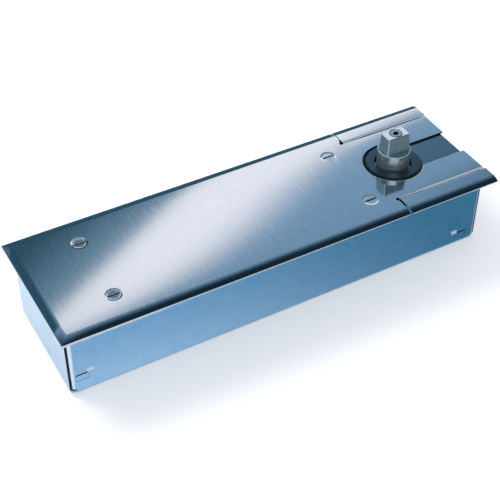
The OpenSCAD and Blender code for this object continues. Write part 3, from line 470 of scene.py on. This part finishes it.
def make_cover():
    flat_half, flat_rear = COVER_HALF - RIM_W, COVER_REAR + RIM_W
    clear_selection()
    bpy.ops.mesh.primitive_plane_add(size=1, location=at((flat_rear + RIM_END) / 2, 0, 0))
    bpy.context.object.scale = at(RIM_END - flat_rear, 2 * flat_half, 1)
    cover = named("cover_sheet")

    # Roll the rim down at the rear and along both sides, with mitred corners
    edit(cover)
    pick_edges(cover, lambda a, b: (a.x + b.x) / 2 < flat_rear + 0.1 or abs((a.y + b.y) / 2) > flat_half - 0.1)
    steps = 8
    length, reach, drop = RIM_END - flat_rear, 0, 0
    for step in range(1, steps + 1):
        angle = RIM_ANGLE * step / steps
        out, down = RIM_R * math.sin(angle), RIM_R * (1 - math.cos(angle))
        pull(z=drop - down)
        wider = ((length + out) / (length + reach), (flat_half + out) / (flat_half + reach), 1)
        bpy.ops.transform.resize(value=wider, center_override=at(RIM_END, 0, -down))
        reach, drop = out, down
    done()
    bpy.ops.object.modifier_add(type="SOLIDIFY")
    wall = cover.modifiers[-1]
    wall.thickness, wall.offset, wall.use_even_offset = SHEET * MM, -1, True
    bpy.ops.object.modifier_apply(modifier=wall.name)

    # Two arms round the spindle
    edit(cover)
    for y in (-ARM_OUT, ARM_OUT):
        slice_at((0, y, 0), (0, 1, 0))
    pick_faces(cover, lambda c, n: n.x > 0.9 and c.x > RIM_END - 0.1 and abs(c.y) < ARM_OUT)
    pull(x=ARM_TIP - RIM_END)
    # Lines through and between the holes, so that each cut meets small flat faces only
    for x in (-262, -238.3, -215, -150, -85, -58, -38.3, -29.7, 0.6):
        slice_at((x, 0, 0), (1, 0, 0))
    for y in (-28.2, 0.4, 28.9):
        slice_at((0, y, 0), (0, 1, 0))
    done()

    # The round hole, the slot, a relief hole at each arm's root, and a shallow dish round each screw hole
    below, above = -6, 3
    combine(cover, turned("hole", [(HOLE_R, below), (HOLE_R, above)], 160))
    combine(cover, block("slot", (0, -SLOT_HALF, below), (COVER_END + 5, SLOT_HALF, above)))
    relief_r, relief_out = 1.6, 0.53
    for side in (-1, 1):
        root = (RIM_END, side * (ARM_OUT + relief_out))
        combine(cover, turned("relief", [(relief_r, below), (relief_r, above)], 24, root))
    dimple = [(4.85, -0.15), (5.1, -0.12), (5.4, -0.08), (5.8, -0.035), (6.3, 0.01), (6.4, 1)]
    screw_hole = [(3.2, below), (3.2, -1.7), (4.75, -0.6), (4.75, 1)]
    for place in SCREWS:
        combine(cover, turned("dimple", dimple, 64, place))
        combine(cover, turned("screw_hole", screw_hole, 64, place))

    def rolled_edge(a, b):
        return a.y * b.y > 0 and all(abs(abs(p.y) - ARM_OUT) < 0.01 and p.z > -0.01 and p.x > RIM_END - 0.1
                                     for p in (a, b))

    def rim_edge(a, b):
        return all(abs(p.z - RIM_LOW) < 0.02 and (abs(p.y) > COVER_HALF - 0.05 or p.x < COVER_REAR + 0.05)
                   for p in (a, b))

    def top_edge(a, b):
        lines = (lambda p: abs(math.hypot(p.x, p.y) - HOLE_R) < 0.03,
                 lambda p: abs(abs(p.y) - SLOT_HALF) < 0.01 and p.x > 0,
                 lambda p: p.x > ARM_TIP - 0.01)
        return a.z > -0.01 and b.z > -0.01 and any(on(a) and on(b) for on in lines)

    # The arms' outer edges are rolled, the rim's edge is worn and the edge of hole, slot and tips is broken
    edit(cover)
    for wanted, width, segments in ((rolled_edge, ARM_EDGE, 6), (rim_edge, WORN, 2), (top_edge, BROKEN, 2)):
        pick_edges(cover, wanted)
        bevel_picked(width, segments)
    done()
    smooth(cover, 35)

    near = BROKEN + 0.05

    def on_inner_edge(c):
        return (abs(math.hypot(c.x, c.y) - HOLE_R) < near or abs(abs(c.y) - SLOT_HALF) < near and c.x > 0
                or c.x > ARM_TIP - near)

    def edges_painted_bright(c, n):
        broken = on_inner_edge(c) and c.z > -0.48 and 0.1 < n.z < 0.98 and (n.y > 0.1 or c.x > ARM_TIP - near)
        rolled = c.x > RIM_END and ARM_OUT - 1.3 < abs(c.y) < ARM_OUT and 0.3 < n.z < 0.93
        return on_rim_edge(c, n) or broken or rolled
    # Painted highlight on the rim's worn facet, the broken top edges of hole, slot and tips, and the rolled arm
    # edges; painted shade, near black, on the upright walls of hole and slot
    paint(cover, "stainless_sheet", ("worn_edge", edges_painted_bright),
          ("cut_edge", lambda c, n: on_inner_edge(c) and abs(n.z) < 0.1 and c.x < ARM_TIP - 0.1))
    return cover


# ---------------------------------------------------------------- spindle end plate

def make_end_plate():
    floor_end = COVER_END - 2.7
    web_out = STRIP_IN + PLATE
    flat_half = COVER_HALF - RIM_W
    plate = block("end_plate", (STRIP_START, -web_out, -SHEET - PLATE), (floor_end, web_out, -SHEET))
    edit(plate)
    for y in (-STRIP_IN, STRIP_IN):
        slice_at((0, y, 0), (0, 1, 0))
    # The strips rise in two lifts, so that the upper one's side can be drawn out and rolled down as a rim
    pick_faces(plate, lambda c, n: n.z > 0.9 and abs(c.y) > STRIP_IN)
    pull(z=SHEET - PLATE)
    pull(z=PLATE)
    for side in (-1, 1):
        pick_faces(plate, lambda c, n: n.y * side > 0.9 and c.y * side > web_out - 0.01 and c.z > -PLATE)
        pull(y=side * (flat_half - web_out))
        roll("X", -side * RIM_ANGLE, (0, side * flat_half, -RIM_R), 8)
    # The strips run on past the lowered floor
    pick_faces(plate, lambda c, n: n.x > 0.9 and (c.z > -SHEET - 0.01 and abs(c.y) > STRIP_IN
                                                  or abs(c.y) > flat_half - 0.01))
    pull(x=COVER_END - floor_end)
    pick_edges(plate, lambda a, b: all(abs(abs(p.y) - STRIP_IN) < 0.01 and p.z > -0.01 for p in (a, b)))
    bevel_picked(0.8, 5)
    pick_edges(plate, lambda a, b: all(abs(p.z - RIM_LOW) < 0.02 and abs(p.y) > COVER_HALF - 0.05 for p in (a, b)))
    bevel_picked(WORN, 2)
    done()
    combine(plate, turned("hole", [(HOLE_R, -6), (HOLE_R, 1)], 160))
    edit(plate)
    pick_edges(plate, lambda a, b: all(p.z > -0.01 and (p.x > COVER_END - 0.01 or p.x < STRIP_START + 0.01)
                                       for p in (a, b)))
    bevel_picked(0.2, 2)
    done()
    smooth(plate, 35)

    def lowered_floor(c, n):
        """Painted shade: it gets a much darker copy of the sheet."""
        return n.z > 0.5 and abs(c.y) < STRIP_IN - 0.1 and c.z < -SHEET + 0.1

    def edges_painted_bright(c, n):
        return on_rim_edge(c, n) or abs(abs(c.y) - STRIP_IN) < 0.8 and c.z > -0.6 and 0.25 < n.z < 0.98
    # Painted highlight on the rim's worn facet and on the strips' rounded inner edges
    paint(plate, "stainless_sheet", ("pressed_floor", lowered_floor), ("worn_edge", edges_painted_bright))
    return plate


# ---------------------------------------------------------------- cement box

def lance_tabs(box):
    """A lanced tab near each lower corner of the long walls: a slot, a grooved tongue and a raised lip."""
    slot_l, slot_h = 13.6, 1.2
    tongue_l, tongue_h, groove = 9, 5, 0.6
    lip_l, lip_h, lip_t, lip_slope = 5, 3, 1, math.radians(17)
    for wall in (-1, 1):
        for side, end, inset, slot_up in ((1, BOX_REAR, 4.2, 16.4), (-1, BOX_FRONT, 10, 10.4)):
            z = BOX_BOTTOM + slot_up

            def along(x0, x1):
                return sorted((end + side * (inset + x0), end + side * (inset + x1)))

            def tool(x0, x1, depth, z0, z1):
                xs, ys = along(x0, x1), sorted((wall * (BOX_HALF - depth), wall * (BOX_HALF + 2)))
                return block("tool", (xs[0], ys[0], z + z0), (xs[1], ys[1], z + z1))
            combine(box, tool(0, slot_l, BOX_T + 1, 0, slot_h))
            combine(box, tool(0, groove, groove, -tongue_h, 0.2))
            combine(box, tool(tongue_l, tongue_l + groove, groove, -tongue_h, 0.2))
            combine(box, tool(0.2, tongue_l + 0.2, groove, -tongue_h, groove - tongue_h))
            xs = along(slot_l - lip_l, slot_l)
            lip = block("lip", (xs[0], -lip_t, -lip_h), (xs[1], 0.05, 0.3))
            edit(lip)
            pick_edges(lip, lambda a, b: a.y > 0 and b.y > 0 or a.z < -1 and b.z < -1)
            bevel_picked(0.25, 2)
            bpy.ops.mesh.select_all(action="SELECT")
            turn("X", lip_slope, (0, 0, 0))
            if wall < 0:
                bpy.ops.transform.resize(value=(1, -1, 1), center_override=(0, 0, 0))
                bpy.ops.mesh.normals_make_consistent(inside=False)
            bpy.ops.transform.translate(value=at(0, wall * BOX_HALF, z + slot_h + lip_h - 0.2))
            done()
            combine(box, lip, "UNION")


def make_box():
    wall_rear, wall_front = BOX_REAR + BOX_T + FOLD_R, BOX_FRONT - BOX_T - FOLD_R
    floor_half, floor_top = BOX_HALF - FOLD_R, BOX_BOTTOM + BOX_T
    fold_z = BOX_BOTTOM + FOLD_R
    flap_z = fold_z + BOX_T
    right_angle = math.radians(90)
    box = block("cement_box_sheet", (wall_rear, -floor_half, BOX_BOTTOM), (wall_front, floor_half, floor_top))
    edit(box)
    for side in (-1, 1):
        # Long side walls, folded up from the floor
        pick_faces(box, lambda c, n: n.y * side > 0.9 and c.y * side > floor_half - 0.01)
        roll("X", side * right_angle, (0, side * floor_half, fold_z), 6)
        pull(z=flap_z - fold_z)
        pull(z=BOX_TOP - flap_z)
    for side, end, wall_x, top in ((-1, BOX_REAR, wall_rear, BOX_TOP), (1, BOX_FRONT, wall_front, -SHEET - PLATE)):
        # End walls, folded up from the floor
        pick_faces(box, lambda c, n: n.x * side > 0.9 and c.z < floor_top and abs(c.y) < floor_half - 0.01)
        pull(x=side * BOX_T)
        bpy.ops.transform.resize(value=(1, END_HALF / floor_half, 1), center_override=(0, 0, 0))
        roll("Y", -side * right_angle, (end - side * FOLD_R, 0, fold_z), 6)
        pull(z=top - fold_z)
        # Flaps, folded in from the side walls behind the end walls
        for wall in (-1, 1):
            pick_faces(box, lambda c, n: n.x * side > 0.9 and c.z > flap_z and c.y * wall > END_HALF + 0.1
                       and abs(c.x - wall_x) < 0.01)
            roll("Z", -side * wall * right_angle, (wall_x, wall * floor_half, 0), 6)
            pull(y=-wall * FLAP)
    done()
    lance_tabs(box)
    smooth(box, 30)

    def end_wall_side(c, n):
        return (abs(n.y) > 0.9 and abs(abs(c.y) - END_HALF) < 0.05 and c.z > fold_z
                and (c.x > BOX_FRONT - FOLD_R or c.x < BOX_REAR + FOLD_R))

    def on_corner_fold(c, n):
        return abs(n.z) < 0.2 and abs(n.y) > 0.1 and abs(c.y) > END_HALF - 1 and c.z > fold_z

    def fold_painted_bright(c, n):
        return on_corner_fold(c, n) and (n.x < -0.55 or 0.3 < n.x < 0.7)

    def gap_painted_dark(c, n):
        """Painted shade: the fold's faces in the gap at the right-hand corner, and the front end wall's inner face.
        """
        inner_face = n.x < -0.9 and abs(c.x - BOX_FRONT + BOX_T) < 0.05 and abs(c.y) < 5
        return on_corner_fold(c, n) and 0.75 < n.x < 0.995 or inner_face

    def tab_lip(c, n):
        return abs(c.y) > BOX_HALF + 0.05
    # Painted shade, near black, on the end walls' side edges, in the gap at the right-hand corner and on the front
    # end wall's inner face; painted highlight on parts of the corner folds and on the tabs' lips
    paint(box, "zinc_sheet", ("cut_edge", end_wall_side), ("burnished_fold", fold_painted_bright), ("cut_edge", gap_painted_dark),
          ("worn_edge", tab_lip))
    return box


# ---------------------------------------------------------------- spindle, collar and screws

def make_collar():
    top, chamfer, outer, bore, spigot = 0.6, 1.5, 21.4, 13.7, 16.98
    profile = [(bore, -7.3), (spigot, -7.3), (spigot, -3.3), (outer, -3.3), (outer, top - chamfer - 0.1),
               (outer - 0.08, top - chamfer + 0.08), (outer - chamfer + 0.1, top - 0.1), (outer - chamfer - 0.1, top),
               (bore + 0.3, top), (bore, top - 0.3)]
    collar = turned("collar_disc", profile, 128, ring=True)
    smooth(collar, 25)
    # Painted shade: the chamfer is near black, standing in for the dark gap between collar and plate
    paint(collar, "dark_collar",
          ("collar_bevel", lambda c, n: c.xy.length > outer - chamfer - 0.05 and c.z > -1.5 and 0.1 < n.z < 0.9))
    return collar


def make_spindle():
    top, half_l, half_w, taper = SPINDLE_TOP, 9, 5.3, math.radians(3.2)
    neck = [(12.25, -3), (12.25, NECK_TOP - 0.45), (12.12, NECK_TOP - 0.13), (11.8, NECK_TOP)]
    body = turned("spindle_body", neck, 128)
    # The head: four tapered flats, with their upper and upright edges broken
    head = block("head", (-12, -12, NECK_TOP - 1.3), (12, 12, top + 1))
    edit(head)
    for bearing, half in ((0, half_l), (90, half_w), (180, half_l), (270, half_w)):
        c, s = math.cos(math.radians(bearing)), math.sin(math.radians(bearing))
        slope = (math.cos(taper) * c, math.cos(taper) * s, math.sin(taper))
        slice_at((half * c, half * s, top), slope, clear=True)
        corner = math.sqrt(0.5)
        slice_at(((half - 0.5) * c, (half - 0.5) * s, top), (corner * c, corner * s, corner), clear=True)
    slice_at((0, 0, top), (0, 0, 1), clear=True)
    bpy.ops.mesh.select_all(action="SELECT")
    bpy.ops.mesh.normals_make_consistent(inside=False)
    pick_edges(head, lambda a, b: abs(a.z - b.z) > 5)
    bevel_picked(0.7, 4)
    done()
    combine(body, head, "UNION")
    # The square drive below the neck, and the counterbore for the spindle screw
    drive = block("drive", (-7, -7, -13.5), (7, 7, -2.5))
    edit(drive)
    pick_edges(drive, lambda a, b: abs(a.z - b.z) > 5)
    bevel_picked(0.9, 3)
    done()
    combine(body, drive, "UNION")
    combine(body, turned("bore", [(4.5, top - 5), (4.5, top - 0.5), (5.2, top + 0.2), (5.2, top + 2)], 64))
    smooth(body, 28)

    def neck_side(c, n):
        return c.z < NECK_TOP - 0.1 and c.xy.length > 12

    def ledge(c, n):
        return n.z > 0.97 and NECK_TOP - 0.1 < c.z < NECK_TOP + 0.1

    def top_face(c, n):
        return n.z > 0.97 and c.z > top - 0.1

    def edges_painted_bright(c, n):
        upright = c.z > NECK_TOP + 0.5 and min(abs(n.x), abs(n.y)) > 0.25 and abs(n.z) < 0.3
        shoulder = NECK_TOP - 0.5 < c.z < NECK_TOP and 0.8 < n.z < 0.95 and c.xy.length > 11.5
        return upright or shoulder or c.z > top - 0.6 and 0.4 < n.z < 0.95 and c.xy.length > 5.6
    # Painted shade on the ledge under the head, painted light on the top face, and painted highlights on the head's
    # upright edges, the neck's shoulder and the top's chamfer
    paint(body, "spindle_steel", ("turned_neck", neck_side), ("spindle_ledge", ledge), ("spindle_top", top_face),
          ("worn_edge", edges_painted_bright))
    return body


def make_spindle_screw():
    top = SPINDLE_TOP
    screw = turned("spindle_screw_body", [(2.45, -24), (2.45, top - 5), (4.25, top - 5), (4.25, top - 0.55),
                                          (4.1, top - 0.2), (3.75, top)], 64)
    socket_r, socket_depth = 2.3, 3
    combine(screw, turned("socket", [(socket_r, top - socket_depth), (socket_r, top + 1)], 6))
    edit(screw)
    pick_edges(screw, lambda a, b: all(p.z > top - 0.01 and p.xy.length < socket_r + 0.1 for p in (a, b)))
    bevel_picked(0.15, 1)
    done()
    smooth(screw, 30)
    # Painted shade: the socket's walls are near black
    paint(screw, "plated_fasteners",
          ("cut_edge", lambda c, n: c.xy.length < socket_r + 0.05 and top - socket_depth - 0.1 < c.z < top - 0.2))
    return screw


def make_cover_screws():
    top, slot_half, slot_depth = -0.2, 0.6, 1.2
    profile = [(2.45, -12.6), (2.45, top - 2.6), (4.5, top - 0.55), (4.6, top - 0.4), (4.5, top - 0.25), (4.0, top)]
    first = turned("screw", profile, 48)
    combine(first, block("slot", (-6, -slot_half, top - slot_depth), (6, slot_half, top + 1)))
    edit(first)
    pick_edges(first, lambda a, b: all(abs(abs(p.y) - slot_half) < 0.02 and p.z > top - 0.2 for p in (a, b)))
    bevel_picked(0.12, 1)
    done()
    smooth(first, 30)
    screws = [copy_of(first, "screw_copy", (*place, 0)) for place in SCREWS]
    bpy.data.objects.remove(first)
    screws = joined(screws, "cover_screw_set")

    def reach(c):
        """How far a place is from the nearest screw's axis."""
        return min(math.hypot(c.x - x, c.y - y) for x, y in SCREWS)

    def rear_head(c, n):
        return c.z > top - 0.05 and n.z > 0.9 and c.x < -200

    def ring(c, n):
        return 4.0 < reach(c) < 4.55 and c.z > top - 0.4 and 0.3 < n.z < 0.97

    def slot_wall(c, n):
        return (top - slot_depth - 0.1 < c.z < top - 0.15 and abs(abs(c.y) - SCREW_Y) < slot_half + 0.02
                and abs(n.y) > 0.9 and reach(c) < 4.4)
    # Painted shade on the rear pair of heads and on the slots' walls; painted highlight on the ring round each head
    paint(screws, "stainless_screws", ("dull_head", rear_head), ("worn_edge", ring), ("cut_edge", slot_wall))
    return screws


# ---------------------------------------------------------------- springs

def make_spring(name, wire, mean_r, turns):
    """A round coil from the piston to the spring seat, with its end turns closed."""
    per_turn, seat, closed = 20, 0.3, wire + 0.6
    pitch = (SPRING_FRONT - PISTON_FRONT - 2 * seat - wire - 2 * closed) / (turns - 2)
    clear_selection()
    path = bpy.data.curves.new(name, "CURVE")
    path.dimensions = "3D"
    path.bevel_depth, path.bevel_resolution, path.use_fill_caps = wire / 2 * MM, 2, True
    line = path.splines.new("POLY")
    line.points.add(turns * per_turn)
    for i, point in enumerate(line.points):
        u = i / per_turn
        if u < 1:
            along = u * closed
        elif u < turns - 1:
            along = closed + (u - 1) * pitch
        else:
            along = closed + (turns - 2) * pitch + (u - turns + 1) * closed
        angle = 2 * math.pi * u
        point.co = (*at(PISTON_FRONT + seat + wire / 2 + along, mean_r * math.cos(angle),
                        AXIS_Z + mean_r * math.sin(angle)), 1)
    coil = bpy.data.objects.new(name, path)
    bpy.context.collection.objects.link(coil)
    take(coil)
    bpy.ops.object.convert(target="MESH")
    coil = bpy.context.object
    smooth(coil, 40, weighted=False)
    paint(coil, "spring_steel")
    return coil


stands_for(make_cover(), "housing", "cover_plate")
stands_for(make_end_plate(), "housing", "spindle_end_plate")
stands_for(make_box(), "housing", "cement_box")
stands_for(make_collar(), "housing", "sealing_collar")
stands_for(make_cover_screws(), "housing", "cover_screws")
stands_for(make_spindle(), "spindle", "spindle_insert")
stands_for(make_spindle_screw(), "spindle", "spindle_screw")

for spring_name, node_name, wire, mean_r, turns in (("outer_coil", "outer_spring", 4, 12, 20),
                                                    ("inner_coil", "inner_spring", 2.6, 7, 30)):
    spring = make_spring(spring_name, wire, mean_r, turns)
    stands_for(spring, "housing", node_name)
    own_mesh(spring)


# ---------------------------------------------------------------- floor, light and camera

def white_floor():
    """A pale floor that glows a little towards the camera, and less in what the metal mirrors."""
    clear_selection()
    bpy.ops.mesh.primitive_plane_add(size=8, location=at(0, 0, BOX_BOTTOM - 0.02))
    floor = bpy.context.object
    floor.name = "floor"
    pale = bpy.data.materials.new("floor")
    pale.use_nodes = True
    tree = pale.node_tree
    shader = tree.nodes["Principled BSDF"]
    shader.inputs["Base Color"].default_value = (0.90, 0.91, 0.92, 1)
    shader.inputs["Roughness"].default_value = 0.9
    shader.inputs["Specular IOR Level"].default_value = 0.1
    rays = tree.nodes.new("ShaderNodeLightPath").outputs
    glow = tree.nodes.new("ShaderNodeEmission")
    glow.inputs["Color"].default_value = (1, 1, 1, 1)
    in_metal = maths(tree, "MULTIPLY", rays["Is Glossy Ray"], 0.04)
    tree.links.new(maths(tree, "MULTIPLY_ADD", rays["Is Camera Ray"], 0.25, in_metal), glow.inputs["Strength"])
    both = tree.nodes.new("ShaderNodeAddShader")
    tree.links.new(shader.outputs[0], both.inputs[0])
    tree.links.new(glow.outputs[0], both.inputs[1])
    tree.links.new(both.outputs[0], tree.nodes["Material Output"].inputs["Surface"])
    floor.data.materials.append(pale)


def white_room():
    """A faintly blue surround lights the part; the camera and the metal see plain white."""
    world = bpy.data.worlds.new("studio")
    bpy.context.scene.world = world
    world.use_nodes = True
    tree = world.node_tree
    tree.nodes.clear()
    rays = tree.nodes.new("ShaderNodeLightPath").outputs
    seen = maths(tree, "MAXIMUM", maths(tree, "MAXIMUM", rays["Is Camera Ray"], rays["Is Glossy Ray"]),
                 rays["Is Transmission Ray"])
    choice = tree.nodes.new("ShaderNodeMixShader")
    tree.links.new(seen, choice.inputs[0])
    for colour, strength, socket in (((0.93, 0.96, 1.0), 0.75, 1), ((1, 1, 1), 1.0, 2)):
        light = tree.nodes.new("ShaderNodeBackground")
        light.inputs["Color"].default_value = (*colour, 1)
        light.inputs["Strength"].default_value = strength
        tree.links.new(light.outputs[0], choice.inputs[socket])
    out = tree.nodes.new("ShaderNodeOutputWorld")
    tree.links.new(choice.outputs[0], out.inputs["Surface"])


def lamp(name, place, aim, size, watts):
    clear_selection()
    bpy.ops.object.light_add(type="AREA", location=at(*place))
    light = bpy.context.object
    light.name = name
    light.data.shape = "RECTANGLE"
    light.data.size, light.data.size_y = size[0] * MM, size[1] * MM
    light.data.energy = watts
    direction = Vector(at(*aim)) - Vector(at(*place))
    light.rotation_euler = direction.to_track_quat("-Z", "Y").to_euler()
    light.visible_glossy = False


def panel(name, low, high, finish):
    """A level or upright soft panel that only shows as a reflection in the metal."""
    width, depth, height = (b - a for a, b in zip(low, high))
    upright = depth == 0
    clear_selection()
    bpy.ops.mesh.primitive_plane_add(size=1, location=at(*[(a + b) / 2 for a, b in zip(low, high)]),
                                     rotation=(math.radians(90) if upright else 0, 0, 0))
    bpy.context.object.scale = at(width, height if upright else depth, 1 / MM)
    card = named(name)
    card.data.materials.append(finish.material)
    card.visible_camera = card.visible_diffuse = card.visible_transmission = card.visible_shadow = False


def overhead_panel():
    """The panel overhead: a broad pale band across it, dark on the far left and blue on the near right."""
    finish = Finish("overhead_panel", metallic=0, specular=0)
    white, pale = (1, 1, 1), (0.62, 0.70, 0.78)
    # Tones by their place in the cover: from the far left, dark, the pale band and blue, across a bent edge
    edge, across = finish.mirrored(1, -1.75), finish.mirrored(1, -1.87)
    bend = maths(finish.tree, "MULTIPLY", maths(finish.tree, "POWER", finish.mirrored(0, 1 / 45), 3), -50)
    dark = finish.blend(finish.step(edge, -355, -232), (0.035, 0.095, 0.135), (0.18, 0.31, 0.40))
    band = finish.blend(finish.step(edge, -244, -218), dark, (1.22, 1.13, 1.10))
    sky = finish.blend(finish.step(finish.sum(across, bend), -158, -53), band, (0.25, 0.40, 0.54))
    # A little darker towards the tip of the near arm
    tip = finish.blend(finish.past(1, 0, 340, 560), white, (0.62, 0.68, 0.72))
    tip = finish.blend(finish.past(0, 1, 440, 520), tip, white)
    sky = finish.blend(1.0, sky, tip, "MULTIPLY")
    # Nearly black in front, where the rolled rim mirrors it
    tone = finish.blend(finish.past(0, 1, -60, 560), (0.008, 0.025, 0.040), sky)
    # Dark far off on the left for the rear rim, and white near by on the left for the spindle's neck
    far = finish.blend(finish.past(0, 1, 800, 960), tone, (0.10, 0.19, 0.26))
    tone = finish.blend(finish.past(-1, 0, 150, 450), tone, far)
    near = finish.blend(finish.past(0, -1, 340, 440), tone, white)
    tone = finish.blend(finish.past(-1, 0, -60, 60), tone, near)
    # Plain and pale past the parts that the photo's view mirrors
    for x, start, end in ((-1, 820, 1200), (1, 1000, 1400)):
        tone = finish.blend(finish.past(x, 0, start, end), tone, pale)
    finish.glow(tone)
    panel("overhead_panel", (-1600, -900, OVERHEAD_Z), (1800, 2000, OVERHEAD_Z), finish)


def front_panel():
    """A blue card that lies on the floor along the front of the box, paler near the box and darker to the right."""
    finish = Finish("front_panel", metallic=0, specular=0)
    right = finish.past(1, 0, -300, 60)
    by_the_box = finish.past(0, 1, -95, -50)
    away = finish.blend(right, (0.27, 0.49, 0.70), (0.06, 0.21, 0.31))
    close = finish.blend(right, (0.50, 0.66, 0.84), (0.06, 0.20, 0.31))
    finish.glow(finish.blend(by_the_box, away, close))
    panel("front_panel", (-284, -600, CARD_Z), (500, -46, CARD_Z), finish)


def back_panels():
    """A card on the floor behind the box and an upright one far behind it, which darken the rear rim."""
    finish = Finish("back_panel", metallic=0, specular=0)
    finish.glow(finish.blend(finish.past(0, 1, 90, 190), (0.27, 0.45, 0.62), (0.03, 0.08, 0.12)))
    panel("back_panel", (BOX_REAR + 1, 46, CARD_Z), (1500, 2000, CARD_Z), finish)
    finish = Finish("rear_wall", metallic=0, specular=0)
    finish.glow((0.05, 0.12, 0.17))
    panel("rear_wall", (-1600, 2000, BOX_BOTTOM), (2400, 2000, OVERHEAD_Z - 1), finish)


def camera():
    """The photo's viewpoint."""
    back = Vector((math.sin(AZIMUTH) * math.cos(ELEVATION), -math.cos(AZIMUTH) * math.cos(ELEVATION),
                   math.sin(ELEVATION)))
    right = Vector((0, 0, 1)).cross(back).normalized()
    up = back.cross(right)
    right, up = math.cos(TILT) * right + math.sin(TILT) * up, math.cos(TILT) * up - math.sin(TILT) * right
    bpy.ops.object.camera_add(location=at(CAMERA_X, CAMERA_Y, CAMERA_Z))
    viewer = bpy.context.object
    viewer.rotation_euler = Matrix((right, up, back)).transposed().to_euler()
    viewer.data.lens, viewer.data.sensor_width = LENS, SENSOR
    bpy.context.scene.camera = viewer
    bpy.context.scene.view_settings.view_transform = "Standard"


white_floor()
white_room()
overhead_panel()
front_panel()
back_panels()
lamp("back_soft_light", (-500, 700, 900), (-120, 0, 0), (700, 500), 8)
camera()
